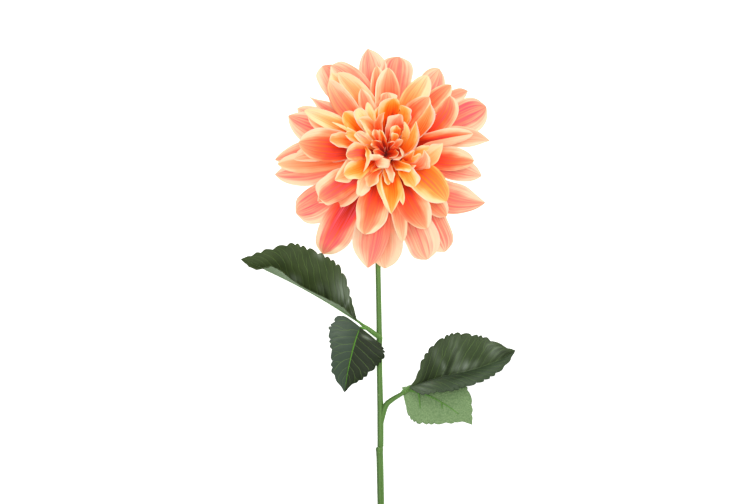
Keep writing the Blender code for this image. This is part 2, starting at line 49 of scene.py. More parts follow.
goldenStep = 0.618  # the golden ratio's step, which keeps neighbours unlike
coreLow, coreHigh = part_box("calyx")
eye = Vector(((coreLow[0] + coreHigh[0]) / 2, (coreLow[1] + coreHigh[1]) / 2, 0.0))  # the bloom's axis


def place(point):
    return Vector(point) * mm + eye


class Signal:
    def __init__(self, board, socket):
        self.board = board
        self.socket = socket

    def __add__(self, other):
        return self.board.math("ADD", self, other)

    def __radd__(self, other):
        return self.board.math("ADD", other, self)

    def __sub__(self, other):
        return self.board.math("SUBTRACT", self, other)

    def __rsub__(self, other):
        return self.board.math("SUBTRACT", other, self)

    def __mul__(self, other):
        return self.board.math("MULTIPLY", self, other)

    def __rmul__(self, other):
        return self.board.math("MULTIPLY", other, self)

    def __truediv__(self, other):
        return self.board.math("DIVIDE", self, other)

    def __pow__(self, other):
        return self.board.math("POWER", self, other)

    def __abs__(self):
        return self.board.math("ABSOLUTE", self)


class Board:
    def __init__(self, name):
        self.material = bpy.data.materials.new(name)
        self.material.use_nodes = True
        self.tree = self.material.node_tree
        self.shader = self.tree.nodes["Principled BSDF"]

    def feed(self, socket, value):
        if isinstance(value, Signal):
            self.tree.links.new(value.socket, socket)
        elif hasattr(value, "__len__") and len(value) == 3 and socket.type == "RGBA":
            socket.default_value = (*value, 1.0)
        else:
            socket.default_value = value

    def node(self, kind, settings=None, inputs=None, output=0):
        item = self.tree.nodes.new(kind)
        for key, value in (settings or {}).items():
            if key == "stops":
                self.setStops(item.color_ramp, value)
            else:
                setattr(item, key, value)
        for key, value in (inputs or {}).items():
            self.feed(item.inputs[key], value)
        return Signal(self, item.outputs[output])

    def setStops(self, ramp, stops):
        while len(ramp.elements) < len(stops):
            ramp.elements.new(1.0)
        for element, (position, colour) in zip(ramp.elements, stops):
            element.position = position
            element.color = (*colour, 1.0)

    def math(self, operation, a, b=0.0):
        return self.node("ShaderNodeMath", dict(operation=operation), {0: a, 1: b})

    def band(self, value, low, high):  # 0 below low, 1 above high, smooth between
        return self.node("ShaderNodeMapRange", dict(interpolation_type="SMOOTHSTEP"),
                         {"Value": value, "From Min": low, "From Max": high})

    def mix(self, factor, a, b):
        item = self.tree.nodes.new("ShaderNodeMix")
        item.data_type = "RGBA"
        self.feed(item.inputs[0], factor)
        self.feed(item.inputs[6], a)
        self.feed(item.inputs[7], b)
        return Signal(self, item.outputs[2])

    def uv(self, name):
        return self.node("ShaderNodeUVMap", dict(uv_map=name))

    def split(self, vector):
        item = self.tree.nodes.new("ShaderNodeSeparateXYZ")
        self.feed(item.inputs[0], vector)
        return [Signal(self, output) for output in item.outputs]

    def join(self, x, y, z):
        return self.node("ShaderNodeCombineXYZ", None, {0: x, 1: y, 2: z})

    def noise(self, vector, scale, detail=2.0, rough=0.5):
        return self.node("ShaderNodeTexNoise", dict(noise_dimensions="3D"),
                         {"Vector": vector, "Scale": scale, "Detail": detail, "Roughness": rough})

    def bump(self, height, strength, distance):
        return self.node("ShaderNodeBump", None,
                         {"Height": height, "Strength": strength, "Distance": distance})

    def finish(self, colour, roughness, normal=None, **others):
        self.feed(self.shader.inputs["Base Color"], colour)
        self.feed(self.shader.inputs["Roughness"], roughness)
        if normal is not None:
            self.feed(self.shader.inputs["Normal"], normal)
        for key, value in others.items():
            self.feed(self.shader.inputs[key.replace("_", " ")], value)
        return self.material


def tone(red, green, blue):  # a colour as a paint chart gives it, 0 to 255
    return tuple(((value / 255 + 0.055) / 1.055) ** 2.4 if value > 10 else value / 255 / 12.92
                 for value in (red, green, blue))


petalColours = dict(
    root=tone(184, 26, 0), red=tone(240, 52, 24), coral=tone(252, 100, 66), rose=tone(254, 146, 120),
    peach=tone(254, 190, 154), cream=tone(255, 224, 188),
    rust=tone(164, 36, 0), ember=tone(238, 76, 8), orange=tone(252, 124, 24), amber=tone(254, 166, 66),
    straw=tone(255, 206, 128), butter=tone(255, 228, 172),
    pink=tone(248, 96, 112), blossom=tone(255, 226, 206))
dyeDepths = dict(  # from the palest cloth to the deepest dye
    rosy=((0.0, "cream"), (0.2, "peach"), (0.42, "rose"), (0.62, "coral"), (0.8, "red"), (1.0, "root")),
    warm=((0.0, "butter"), (0.2, "straw"), (0.42, "amber"), (0.62, "orange"), (0.82, "ember"),
          (1.0, "rust")))


def petalSignals(board):
    across, along, _ = board.split(board.uv("blade"))
    warmth, blush, _ = board.split(board.uv("dye"))
    seed, heat, _ = board.split(board.uv("lot"))
    pale, shift, _ = board.split(board.uv("tint"))
    side = abs(across * 2.0 - 1.0 - shift) / (1.0 + abs(shift))
    streak = board.noise(board.join(across * 9.0, along * 0.8, seed * 37.0), 1.7, 3.0, 0.55)
    fine = board.noise(board.join(across * 32.0, along * 1.0, seed * 11.0), 1.5, 2.0, 0.6)
    cloud = board.noise(board.join(across * 1.6, along * 2.0, seed * 23.0), 1.7, 2.0, 0.5)
    return across, along, side, warmth, blush, seed, heat, pale, streak, fine, cloud


def dyeRamp(board, depth, kind):
    stops = [(position, petalColours[colour]) for position, colour in dyeDepths[kind]]
    return board.node("ShaderNodeValToRGB", dict(stops=stops), {"Fac": depth})


def dyed(board, depth, warmth):
    return board.mix(warmth, dyeRamp(board, depth, "rosy"), dyeRamp(board, depth, "warm"))


def petalFace():
    board = Board("petalFace")
    across, along, side, warmth, blush, seed, heat, pale, streak, fine, cloud = petalSignals(board)
    hold = 1.0 - board.band(side + (cloud - 0.5) * 0.7, 0.2, 1.05)  # dye stays off the margins
    inner = 1.0 - along
    depth = inner * 0.56 + heat * (1.0 - along ** 3.0) * 0.62 + hold * 0.28 - 0.01
    depth = depth - (1.0 - hold) * (heat * 0.45 + 0.18) * board.band(along, 0.15, 0.75)
    depth = depth + (streak - 0.5) * 0.42 + (fine - 0.5) * 0.14 - pale * (along * 0.4 + 0.12)
    ground = dyed(board, depth, warmth)
    stripe = board.band(streak + (fine - 0.5) * 0.4, 0.36, 0.7) * hold * board.band(along, 0.3, 0.6)
    stripe = stripe * (1.0 - board.band(along, 0.86, 1.08)) * blush
    ground = board.mix(stripe * 0.7, ground, petalColours["pink"])
    edge = board.band(side + (cloud - 0.5) * 0.25 + board.band(along, 0.75, 1.0) * 0.2, 0.78, 1.05)
    rim, _, _ = board.split(board.uv("trim"))
    trimmed = board.math("MINIMUM", rim, 1.0) * 0.8
    ground = board.mix(edge * trimmed, ground, petalColours["cream"])
    hem = board.band(side + rim * 0.08 + (fine - 0.5) * 0.1, 0.94, 1.04)
    ground = board.mix(hem * trimmed, ground, petalColours["blossom"])
    weave = board.noise(board.join(across * 160.0, along * 300.0, seed), 1.0, 1.0)
    pleat = fine * 0.7 + streak * 0.5 + weave * 0.12
    # painted light: the petals glow faintly, standing in for light through the cloth and lifting the shade
    # in the hollows
    glow = board.mix(board.band(along, 0.0, 0.9) * 0.6, ground, petalColours["ember"])
    return board.finish(ground, 0.62, board.bump(pleat, 0.35, 0.0006), Emission_Color=glow,
                        Emission_Strength=0.1, Sheen_Weight=0.05, Sheen_Roughness=0.5,
                        Specular_IOR_Level=0.12)  # the glow is light that comes through the cloth


def petalBack():
    board = Board("petalBack")
    _, along, side, warmth, blush, _, heat, pale, streak, fine, _ = petalSignals(board)
    depth = (1.0 - along) * 0.55 + (streak - 0.5) * 0.4 - side * 0.1 + heat * 0.1 - pale * 0.2
    ground = dyed(board, depth, warmth * 0.7)
    ground = board.mix(board.band(fine, 0.5, 0.8) * blush * 0.35, ground, petalColours["pink"])
    return board.finish(ground, 0.66, board.bump(fine + streak, 0.3, 0.0005),
                        Sheen_Weight=0.2, Sheen_Roughness=0.5, Specular_IOR_Level=0.3)


# The spread whorls' petals share a root ring (radius, height) and the knee that they bend over, as
# a share of the way out and a height above the root. Cup rounds a petal up to its margins and fold
# turns its left and right margin over past a crease, all in degrees. Point blunts (low) or sharpens
# (high) the tip, skew widens the right half, hook turns the tip up and wave ruffles the margins. The
# dye has its warmth, blush (pink streaks), heat (red), pale, shift off the middle and rim (cream).
petalHabit = dict(thickness=0.45, cup=40.0, widest=0.62, neck=0.25, point=0.55, skew=0.0, fold=(0, 0),
                  crease=0.55, curl=(0, 0), hook=1.0, wave=0.6, warmth=0.0, blush=0.0, heat=0.2,
                  pale=0.0, shift=0.0, rim=0.5)
whorls = dict(
    outerPetals=dict(root=(8.0, 22.0), knee=(0.55, 7.0), cup=34.0, across=12, along=20,
                     warmth=0.1, blush=1.0, heat=0.0, wave=1.2),
    middlePetals=dict(root=(8.0, 29.0), knee=(0.50, 17.0), cup=44.0, across=16, along=22,
                      warmth=0.35, blush=0.45, heat=0.3),
    innerPetals=dict(crease=0.2, neck=0.6, across=14, along=20, point=0.8, widest=0.55,
                     warmth=1.0, heat=0.12, wave=2.3),
    heartPetals=dict(crease=0.2, neck=0.6, across=12, along=18, point=0.85, widest=0.55,
                     warmth=0.9, heat=0.1, wave=1.7))

# Petals: turn about the axis, reach of the tip from it, blade width, height of the tip, swing of
# the root and sway of the knee from the tip's direction, and what is the petal's own.
petalRows = dict(
    outerPetals=[
        (24, 77, 26, -2, -4, 0, dict(widest=0.76, point=0.5, blush=1.6, pale=-0.15, shift=0.1)),
        (6, 73, 16, 7, 0, 7, dict(widest=0.68, point=1.0, skew=-0.3, blush=0.2, pale=0.3)),
        (-14, 69, 18, 4, 4, 0, dict(widest=0.7, point=0.7, pale=0.3)),
        (-27, 78, 23, -2, -18, -10, dict(knee=(0.6, 7.0), point=0.8)),
        (-59, 81, 23, 3, 0, 7, dict(widest=0.75, point=0.4, pale=0.4)),
        (-68.5, 80.5, 25, 9, 0, 0, dict(widest=0.82, point=0.45, skew=-0.1, pale=0.2)),
        (-90, 81, 23, 4, 0, 2, dict(cup=20.0, widest=0.74, point=0.42, blush=0.3, pale=0.3)),
        (-98.5, 81.5, 27, 13, 0, -2, dict(widest=0.68, point=0.8, shift=-0.25)),
        (-121.5, 83, 26, 0, 0, -2, dict(widest=0.74, point=0.5, heat=0.85, blush=1.5)),
        (-145.5, 75, 25, 4, 0, 9, dict(knee=(0.62, 3.5), cup=6.0, widest=0.75, point=0.3, blush=1.5)),
        (-168.5, 78, 21, -2, 0, 4, dict(point=0.7, skew=-0.2, pale=0.3)),
        (-173.5, 75, 17, 9, 0, 4, dict(point=0.6, warmth=0.4, blush=0.1, pale=0.2)),
        (-176, 76.5, 21, 3, 0, -5, dict(widest=0.6, point=0.75)),
        (159.5, 71.5, 24, 5, 0, 1, dict(point=0.7, skew=-0.25)),
        (153.5, 68, 15, -2, 0, 0, dict(pale=0.5)),
        (144, 65, 15, 9, 0, 0, dict(widest=0.55, point=1.5, pale=0.4)),
        (126, 74, 18, -2, 0, 5, dict(widest=0.8, point=0.25, shift=0.3)),
        (122, 70.5, 18, 8, -35, -4, dict(knee=(0.55, 8.5), widest=0.75, point=0.3, pale=0.2)),
        (99.5, 72.5, 22, 2, 0, 0, dict(widest=0.7, point=0.7, skew=0.12, pale=0.2)),
        (82, 66.5, 26, 7, 0, 0, dict(widest=0.74, point=0.36, pale=-0.1)),
        (57, 69, 23, -2, 0, 0, dict(widest=0.72, point=0.6, skew=0.1, fold=(50, 0), pale=0.2)),
        (36.5, 70, 10, 9, 12, 6, dict(widest=0.85, point=0.35, hook=3.0, blush=0.3))],
    middlePetals=[
        (45, 64.5, 16, 20, 0, 0, dict(cup=32.0, point=0.5, pale=-0.15, rim=0.3)),
        (40, 58.5, 16, 30, -40, 0, dict(knee=(0.86, 10.0), blush=1.0, pale=-0.2, rim=0.3)),
        (11, 61.5, 20, 29, 0, 0, dict(fold=(0, 165), crease=0.5, skew=0.25, heat=0.7, pale=-0.1)),
        (-6, 61.5, 18, 20, 0, -3, dict(widest=0.65, point=0.5, heat=0.6, pale=-0.1)),
        (-39.5, 54.5, 24, 33, 8, 3, dict(knee=(0.5, 20.0), point=0.6, warmth=1.0)),
        (-46.5, 61.5, 19, 20, 0, 0, dict(knee=(0.5, 13.5), cup=34.0, point=0.45, blush=0.9, pale=-0.1)),
        (-61.5, 60.5, 23, 29, 0, 0, dict(knee=(0.5, 18.0), skew=0.08, heat=0.6)),
        (-79, 63.5, 14, 24, 0, 0, dict(fold=(0, 60), pale=0.5)),
        (-104, 59, 24, 31, 4, 2, dict(point=0.4, heat=0.5, wave=2.0)),
        (-131, 50, 15, 19, 0, 0, dict(point=0.45, hook=0.0)),
        (-143, 58, 14, 13, 0, 0, dict(heat=0.4, blush=0.9)),
        (-144.5, 55.5, 22.5, 27, 0, 3, dict(point=0.25, blush=1.0, wave=2.4, heat=0.5, pale=-0.1)),
        (174.5, 59.5, 25, 32, 0, 0, dict(knee=(0.5, 19.0), widest=0.68, point=0.6, heat=0.6,
                                         shift=-0.35)),
        (-175, 63, 14, 18, 0, 0, dict(point=0.5, skew=0.5, pale=0.3)),
        (155.5, 58, 17, 20, 0, 0, dict()),
        (153.5, 62, 13, 31, -4, -3, dict(warmth=1.0, pale=0.75)),
        (128.5, 61.5, 20, 29, 4, 0, dict(knee=(0.5, 19.5), point=0.6, blush=0.7, shift=-0.6, pale=0.3,
                                         fold=(0, 40), crease=0.12)),
        (124.5, 65.5, 17, 17, 4, 1, dict(knee=(0.5, 13.5), cup=34.0, warmth=0.8, pale=0.4)),
        (121, 63, 16, 23, -26, -3, dict(knee=(0.5, 14.5), warmth=0.7, pale=0.5)),
        (95.5, 59, 13, 18, 0, 0, dict(heat=0.5)),
        (88, 57, 18.5, 29, 0, 0, dict(widest=0.6)),
        (60.5, 59.5, 19, 26, 0, 0, dict(warmth=0.8, pale=0.5)),
        (50.5, 47.5, 17, 37, 6, 0, dict(heat=0.4, pale=-0.1, rim=0.4))])

# The inner petals crowd each other, so each is set by five places: its root, its left margin, rib
# and right margin half way out, as seen looking out along it, and its tip. Crease is how sharply
# such a petal bends at its rib, from 0 to 1, and curl how far its left and right edges lift.
crowdedRows = dict(
    innerPetals=[
        ((0.5, 8, 33), (-5.5, 31, 40), (0.7, 29, 39), (8, 31, 40), (2, 40, 41),
         dict(warmth=0.3, blush=0.5, pale=0.2)),
        ((5, 7, 33), (8, 22, 42), (13, 22.5, 42), (18.5, 22.5, 43), (11, 31.5, 42),
         dict(rim=1.0)),
        ((0.7, 5, 33), (-5, 27, 47), (2, 25, 42), (9.5, 27.5, 46), (5.5, 36, 46),
         dict(point=0.7, heat=0.5, wave=0.5)),
        ((-3, 8.5, 33), (-8, 21, 43.5), (-5.5, 20, 42.5), (-2, 20, 43.5), (-4, 31, 43),
         dict(heat=0.4)),
        ((9, 0, 31), (19, 17, 42), (25, 14, 41), (32.5, 17, 46), (31.5, 32, 42),
         dict(warmth=0.6, point=1.0, widest=0.5, rim=2.0, curl=(0, 1.5), wave=0.3, pale=-0.1)),
        ((9, -2, 33), (20, 1, 43), (21, -1.5, 42), (22, -4, 43), (31, 3, 46),
         dict(pale=0.3, widest=0.7, point=0.4)),
        ((9, -5, 32), (25, -0.5, 44), (27, -6, 41.5), (30, -11, 44), (40, 5, 43),
         dict(warmth=0.7, pale=0.5, wave=2.2, widest=0.65)),
        ((-9, 5, 34), (-22, 11, 43.5), (-22.5, 12.5, 44), (-22, 14, 43.5), (-37, 19.5, 42),
         dict(pale=0.9, wave=0.5)),
        ((-9, 2, 33), (-25, 1.5, 43), (-26, 6, 40.5), (-26, 12, 45.5), (-38.5, 7, 43),
         dict(warmth=0.7, point=0.45, widest=0.65, rim=0.9)),
        ((-9, 3, 34), (-18, 4.5, 45), (-19, 8, 43.5), (-18, 12, 45.5), (-28, 11, 45),
         dict(pale=0.1, point=0.35, widest=0.65, heat=0.0)),
        ((-4, 8, 33), (-16, 25, 41), (-11, 26, 41.5), (-6.5, 28, 41), (-16.5, 43, 42),
         dict(warmth=0.25, point=0.9, widest=0.65, blush=0.3)),
        ((-7, 5, 33), (-23, 12, 43), (-19, 17, 41), (-14.5, 20, 44), (-28.5, 26.5, 44),
         dict(point=0.4, widest=0.65, heat=0.2, wave=0.5)),
        ((-6, 7, 33), (-18, 17, 46), (-13.5, 18.5, 44), (-10, 21, 47), (-19.5, 29, 48),
         dict(point=0.4, widest=0.65, pale=0.8, rim=1.0, wave=0.4)),
        ((-4, 8, 33), (-12, 22, 44), (-9, 21, 45.5), (-6.5, 22, 44), (-12, 33.5, 47),
         dict(pale=0.6, rim=1.0, heat=0.0, widest=0.65)),
        ((-8, -5, 32), (-18, -18, 43), (-20, -12, 41.5), (-22, -5.5, 44), (-35, -20.5, 41),
         dict(warmth=0.6, pale=0.2, widest=0.65)),
        ((-7, -5, 33), (-15, -18, 45.5), (-16.5, -11, 45), (-18, -4.5, 48), (-29, -16.5, 47),
         dict(wave=1.6, point=0.45, widest=0.62)),
        ((-5, -7, 33), (-8.5, -20.5, 43), (-12.5, -19, 43.5), (-16.5, -18.5, 43), (-18, -32, 41),
         dict(warmth=0.4, pale=0.7, point=0.4, widest=0.72)),
        ((-3, -8, 33), (-3, -16.5, 47.5), (-7, -16.5, 44.5), (-11.5, -16, 46.5), (-11, -26, 46),
         dict(warmth=0.6, point=0.5, widest=0.65, blush=0.5)),
        ((4, -8, 33), (11.5, -23, 43), (9, -23, 42.5), (6.5, -23, 41.5), (12.5, -38, 44),
         dict(pale=0.4, wave=0.3, widest=0.7)),
        ((1, -8, 33), (11.5, -25, 45), (3.5, -26, 43.5), (-4, -26, 45), (4, -44, 42),
         dict(point=0.9, wave=0.8, heat=0.3)),
        ((-2.5, -15, 44), (-1.5, -26, 46.5), (-3.5, -26.5, 46), (-5.5, -25.5, 45), (4.5, -43.5, 43.5),
         dict(pale=1.0, warmth=0.9, wave=0.3)),
        ((8, -8, 34), (15.5, -5.5, 47.5), (17.5, -9, 45), (19.5, -12, 44), (25, -2, 49.5),
         dict(pale=0.4, rim=0.8, widest=0.65)),
        ((9, -9, 34), (20.5, -7.5, 48.5), (24, -11, 47), (30, -13, 48.5), (27, 0.5, 52),
         dict(warmth=0.3, point=0.9, blush=0.3)),
        ((8, -5, 34), (13.5, -3.5, 47.5), (14.5, -5.5, 46), (16.5, -8, 47.5), (20.5, 0.5, 51),
         dict(warmth=0.7, heat=0.4, rim=0.9)),
        ((5, -7, 34), (19, -12, 46.5), (14, -14, 45), (10.5, -18, 47), (20.5, -25.5, 42),
         dict(widest=0.7, rim=1.0, point=0.4, pale=0.1)),
        ((5, -6, 34), (10, -7, 51), (11, -10.5, 48), (10.5, -14.5, 48.5), (19, -12, 49),
         dict(rim=1.0, heat=0.2, point=0.4))],
    heartPetals=[
        ((8, -3, 34), (13.5, 7, 47), (17, 4, 46), (23, 3.5, 51), (21.5, 20, 50),
         dict(rim=2.5, point=1.0, widest=0.5, curl=(0, 2.5), wave=0.4)),
        ((7, 0, 34), (11.5, 9.5, 50), (15, 7.5, 53.5), (16.5, 9, 48.5), (13, 20, 53),
         dict(pale=0.5, rim=1.0, crease=1.0)),
        ((2.5, 3, 34), (0.5, 18, 50), (6, 14, 45), (12.5, 15, 50), (10.5, 25, 50),
         dict(warmth=0.2, heat=0.3, point=0.8)),
        ((4.5, 3, 36), (3, 11.5, 51), (7, 10.5, 49), (10.5, 11.5, 51), (7.5, 17.5, 53),
         dict(warmth=0.8, heat=0.45, point=0.8, rim=0.3)),
        ((-1.5, 5, 34), (-8, 17.5, 51), (-4.5, 16, 49.5), (-1.5, 16, 48), (-0.5, 26.5, 52),
         dict(warmth=0.4, rim=1.0, point=1.3, heat=0.3)),
        ((4, 2, 36), (4, 9.5, 53.5), (6.5, 8, 52.5), (9, 8, 53.5), (6, 12, 56),
         dict(rim=0.6, wave=1.5)),
        ((4, 0, 36), (7, 6, 54.5), (8.5, 4.5, 53.5), (10, 3, 54), (12.5, 7.5, 55),
         dict(warmth=0.4, rim=0.6)),
        ((3, -3, 34), (8, 2, 53), (11.5, -1.5, 47), (6, -7, 52), (12.5, -4.5, 54),
         dict(warmth=0.5, heat=0.4, rim=0.8)),
        ((-4, 7, 35), (-12, 14, 49), (-10, 17, 47), (-9, 21, 51), (-18.5, 21.5, 50),
         dict(warmth=0.6, pale=0.3, widest=0.6, rim=1.0)),
        ((-5, 4, 36), (-11.5, 9.8, 51.5), (-10.5, 11, 51.5), (-9.5, 12, 52.5), (-16, 18, 52),
         dict(pale=0.9)),
        ((-6, 1, 35), (-16.5, 4.5, 51), (-13.5, 6.5, 49), (-10.5, 9.5, 52), (-20.5, 12.5, 51),
         dict(pale=0.9, wave=2.0, point=0.35, blush=1.0)),
        ((-7, -2, 34), (-16, -7, 49), (-17, -1.5, 46.5), (-17, 5, 51), (-27.5, -3.5, 48),
         dict(warmth=0.7, blush=0.9, heat=0.4, point=0.45, widest=0.65)),
        ((-14, 2.5, 48), (-9.5, -4.5, 54), (-11.3, -4.5, 53), (-13, -4.5, 52), (-14.5, -15, 46),
         dict(pale=0.9, wave=1.2)),
        ((-1, 0, 34), (-8, 8.5, 52), (-5.5, 7.5, 54.5), (-3.2, 8, 53), (-6.5, 14.5, 54),
         dict(warmth=0.4, heat=0.5, point=0.4)),
        ((0.5, 0, 34), (-3.4, 8.5, 54), (-1.4, 7.5, 51.5), (1.2, 6.5, 52), (-3.5, 14.5, 54.5),
         dict(heat=0.6, point=0.5, rim=0.4)),
        ((-1.5, -1, 34), (-7.6, 1.5, 53), (-6, 5, 54.5), (-3.2, 6, 53), (-9.8, 5, 54),
         dict(warmth=0.5, heat=0.4, point=0.4, rim=0.9)),
        ((-0.7, -3, 34), (-5, -3.5, 51), (-5, -1.5, 52), (-4, 0.5, 51.5), (-9, -0.5, 52.5),
         dict(warmth=0.4, heat=0.4)),
        ((-4, -5, 34), (-10.5, -6, 53), (-6, -7, 52), (-1.4, -6, 54), (-6, -2.2, 56),
         dict(warmth=0.3, pale=0.5, rim=1.0, point=0.35)),
        ((0, -5, 35), (4.5, -17, 47), (1.5, -17, 45.5), (-1.5, -16.5, 46.5), (2, -24.5, 46),
         dict(warmth=0.9, wave=1.6)),
        ((0, -5, 36), (6, -14.5, 50), (3.2, -15, 51), (0.5, -14.5, 50), (5, -23, 47),
         dict(warmth=0.3, pale=0.7)),
        ((1, -1, 33), (1.5, 4.5, 46), (4, 5, 44), (6, 2, 46), (7, 6, 50), dict(warmth=0.7, heat=0.4)),
        ((1, -3, 33), (6, 0.5, 46), (6.5, -3, 45), (4, -6, 47), (10, -2.5, 50),
         dict(warmth=0.7, heat=0.4)),
        ((0, -4, 33), (3.5, -6.5, 48), (0.5, -7, 48), (-2.5, -6, 48), (0.5, -9, 52),
         dict(warmth=0.7, heat=0.35)),
        ((-2, -2, 33), (-4, -5, 48), (-5.5, -3, 47), (-5.5, -0.5, 48), (-8.5, -3, 51),
         dict(warmth=0.7, heat=0.35)),
        ((-10.5, -16, 46), (-4, -12, 49.5), (-4.5, -12.8, 50), (-5, -13.6, 49), (3, -11, 50),
         dict(pale=0.7)),
        ((-7, -6, 36), (-2.5, -5, 54), (-2.7, -9, 56), (-2.7, -12.5, 53), (4, -9, 53),
         dict(warmth=0.3, pale=0.8, point=0.3, heat=0.0))])


def bladeWidth(t, widest, neck, point):  # share of the full width: narrow neck, widest place, tip
    if t < widest:
        return neck + (1.0 - neck) * math.sin(0.5 * math.pi * t / widest) ** 1.4
    u = (t - widest) / (1.0 - widest)
    return max(math.cos(0.5 * math.pi * u) ** point, 0.03)


def ease(low, high, value):
    share = min(1.0, max(0.0, (value - low) / (high - low)))
    return share * share * (3.0 - 2.0 * share)


def ruffled(traits, seed, sign, t, depth, pace, finer):  # how far the waves widen a half
    waves = math.sin(pace * t + seed * 40.0 + sign) + finer * math.sin(19.0 * t + seed * 90.0 + sign)
    return 1.0 + depth * traits["wave"] * waves


def tipHook(traits, t):
    return traits["hook"] * max(0.0, (t - 0.78) / 0.22) ** 2


def bow(root, knee, tip, t):  # a curve that leaves the root towards the knee and ends at the tip
    return root * (1 - t) ** 2 + knee * 2 * t * (1 - t) + tip * t * t


def crossSection(share, cupping, fold, crease):  # how far out and up a half has come at this share
    out = up = 0.0
    steps = 12
    for step in range(steps):
        q = share * (step + 0.5) / steps
        angle = cupping * q + fold * ease(crease - 0.18, crease + 0.18, q)
        out += math.cos(angle) * share / steps
        up += math.sin(angle) * share / steps
    return out, up


def polar(radius, turn, height):
    angle = math.radians(turn)
    return Vector((radius * math.cos(angle), radius * math.sin(angle), height))


def spreadSurface(traits, seed, turn, reach, width, tipHeight, swing, sway):
    rootRadius, rootHeight = traits["root"]
    kneeShare, kneeLift = traits["knee"]
    root = polar(rootRadius, turn + swing, rootHeight)
    knee = polar(rootRadius + (reach - rootRadius) * kneeShare, turn + swing / 2 + sway,
                 rootHeight + kneeLift)
    tip = polar(reach, turn, tipHeight)
    outward = (tip - root).normalized()
    cupping = math.radians(traits["cup"])
    folds = [math.radians(angle) for angle in traits["fold"]]

    def surface(s, t):
        middle = bow(root, knee, tip, t)
        way = ((knee - root) * (1 - t) + (tip - knee) * t).normalized()
        heading = way + outward * 0.25
        side = Vector((heading.y, -heading.x, 0.0)).normalized()  # to the petal's right, looking out
        side = (side - way * side.dot(way)).normalized()
        face = side.cross(way)
        hand = 1 if s > 0 else 0
        sign = 1.0 if s > 0 else -1.0
        opening = ease(0.1, 0.5, t)
        half = 0.5 * width * bladeWidth(t, traits["widest"], traits["neck"], traits["point"])
        half *= 1.0 + sign * traits["skew"] * opening
        half *= ruffled(traits, seed, sign, t, depth=0.04, pace=9.0, finer=0.6)
        out, rise = crossSection(abs(s), cupping * (1.0 - 0.3 * t), folds[hand] * opening,
                                 traits["crease"])
        spot = middle + side * (sign * half * out) + face * (half * rise)
        ripple = traits["wave"] * abs(s) ** 3 * math.sin(8.0 * t + seed * 17.0 + sign * 1.3)
        groove = 0.35 * math.exp(-(s / 0.16) ** 2) * math.sin(math.pi * min(1.0, t * 1.1))
        spot += face * (ripple * math.sin(math.pi * min(1.0, t * 1.05)) + tipHook(traits, t) - groove)
        spot.z = max(spot.z, tableGap)  # a low tip lies flat
        return spot

    return surface


def crowdedSurface(traits, seed, *places):
    root, left, rib, right, tip = [Vector(spot) for spot in places]
    knee = rib * 2 - (root + tip) / 2  # so that the rib passes through its own place half way out
    shape = traits["widest"], traits["neck"], traits["point"]
    fullest = bladeWidth(0.5, *shape)
    face = (right - left).cross(tip - root).normalized()

    def surface(s, t):
        middle = bow(root, knee, tip, t)
        hand = 1 if s > 0 else 0
        sign = 1.0 if s > 0 else -1.0
        rounded = (right - left) * (s / 2) + ((right + left) / 2 - rib) * s * s
        creased = ((right if s > 0 else left) - rib) * abs(s)
        arm = rounded.lerp(creased, traits["crease"])
        share = bladeWidth(t, *shape) / fullest
        share *= ruffled(traits, seed, sign, t, depth=0.06, pace=10.0, finer=0.8)
        ripple = math.sin(9.0 * t + seed * 17.0 + sign * 1.3) + 0.4 * math.sin(21.0 * t + seed * 31.0)
        ripple *= traits["wave"] * 0.8 * abs(s) ** 3 * math.sin(math.pi * min(1.0, t * 1.05))
        lip = traits["curl"][hand] * abs(s) ** 7 * math.sin(math.pi * t)
        return middle + arm * share + face * (ripple + tipHook(traits, t) + lip)

    return surface


# What a finish needs to know of a piece is noted in its maps, two values in each.
# For a leaf, the second value in lot is painted light on each half, and the fourth map holds its painted
# highlight patches and the painted shade along its folds.
def newMaps(bm):
    return {label: bm.loops.layers.uv.new(label) for label in ("blade", "dye", "lot", "tint", "trim")}


def sheetInto(bm, maps, across, along, surface, notes):  # s runs from -1 to 1 across, t from 0 to 1
    verts = bmesh.ops.create_grid(bm, x_segments=across, y_segments=along, size=1.0)["verts"]
    for face in {face for vert in verts for face in vert.link_faces}:
        face.smooth = True
        for loop in face.loops:
            s, t = loop.vert.co.x, loop.vert.co.y * 0.5 + 0.5
            loop[maps["blade"]].uv = (s * 0.5 + 0.5, t)
            for label, pair in notes(s, t).items():
                loop[maps[label]].uv = pair
    for vert in verts:
        vert.co = place(surface(vert.co.x, vert.co.y * 0.5 + 0.5))
    return verts


def newPiece(name, bm, materials, slotName, *nodes):
    mesh = bpy.data.meshes.new(name)
    bm.to_mesh(mesh)
    bm.free()
    piece = bpy.data.objects.new(name, mesh)
    bpy.context.scene.collection.objects.link(piece)
    for material in materials:
        mesh.materials.append(material)
    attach(piece, "root")
    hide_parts(*nodes)
    return piece


def shell(piece, thickness, levels, backIndex=0):
    wall = piece.modifiers.new("wall", "SOLIDIFY")
    wall.thickness = thickness * mm
    wall.offset = 0.0
    wall.material_offset = backIndex
    wall.material_offset_rim = 0
    if levels:
        rounding = piece.modifiers.new("rounding", "SUBSURF")
        rounding.levels = levels
        rounding.render_levels = levels


def makePetals(face, back):
    for name, whorl in whorls.items():
        bm = bmesh.new()
        maps = newMaps(bm)
        rows = petalRows.get(name) or crowdedRows[name]
        build = spreadSurface if name in petalRows else crowdedSurface
        for number, (*places, own) in enumerate(rows):
            seed = (number * goldenStep + 0.13) % 1.0
            traits = {**petalHabit, **whorl, **own}
            traits["shift"] += 0.25 * math.sin(seed * 40.0)  # the dye sits a little off the middle
            notes = dict(dye=(traits["warmth"], traits["blush"]), lot=(seed, traits["heat"]),
                         tint=(traits["pale"], traits["shift"]), trim=(traits["rim"], 0.0))
            sheetInto(bm, maps, whorl["across"], whorl["along"], build(traits, seed, *places),
                      lambda s, t: notes)
        piece = newPiece(name, bm, [face, back], "petals", "bloom")
        shell(piece, petalHabit["thickness"], levels=1, backIndex=1)
        print("petals:", name, len(rows))
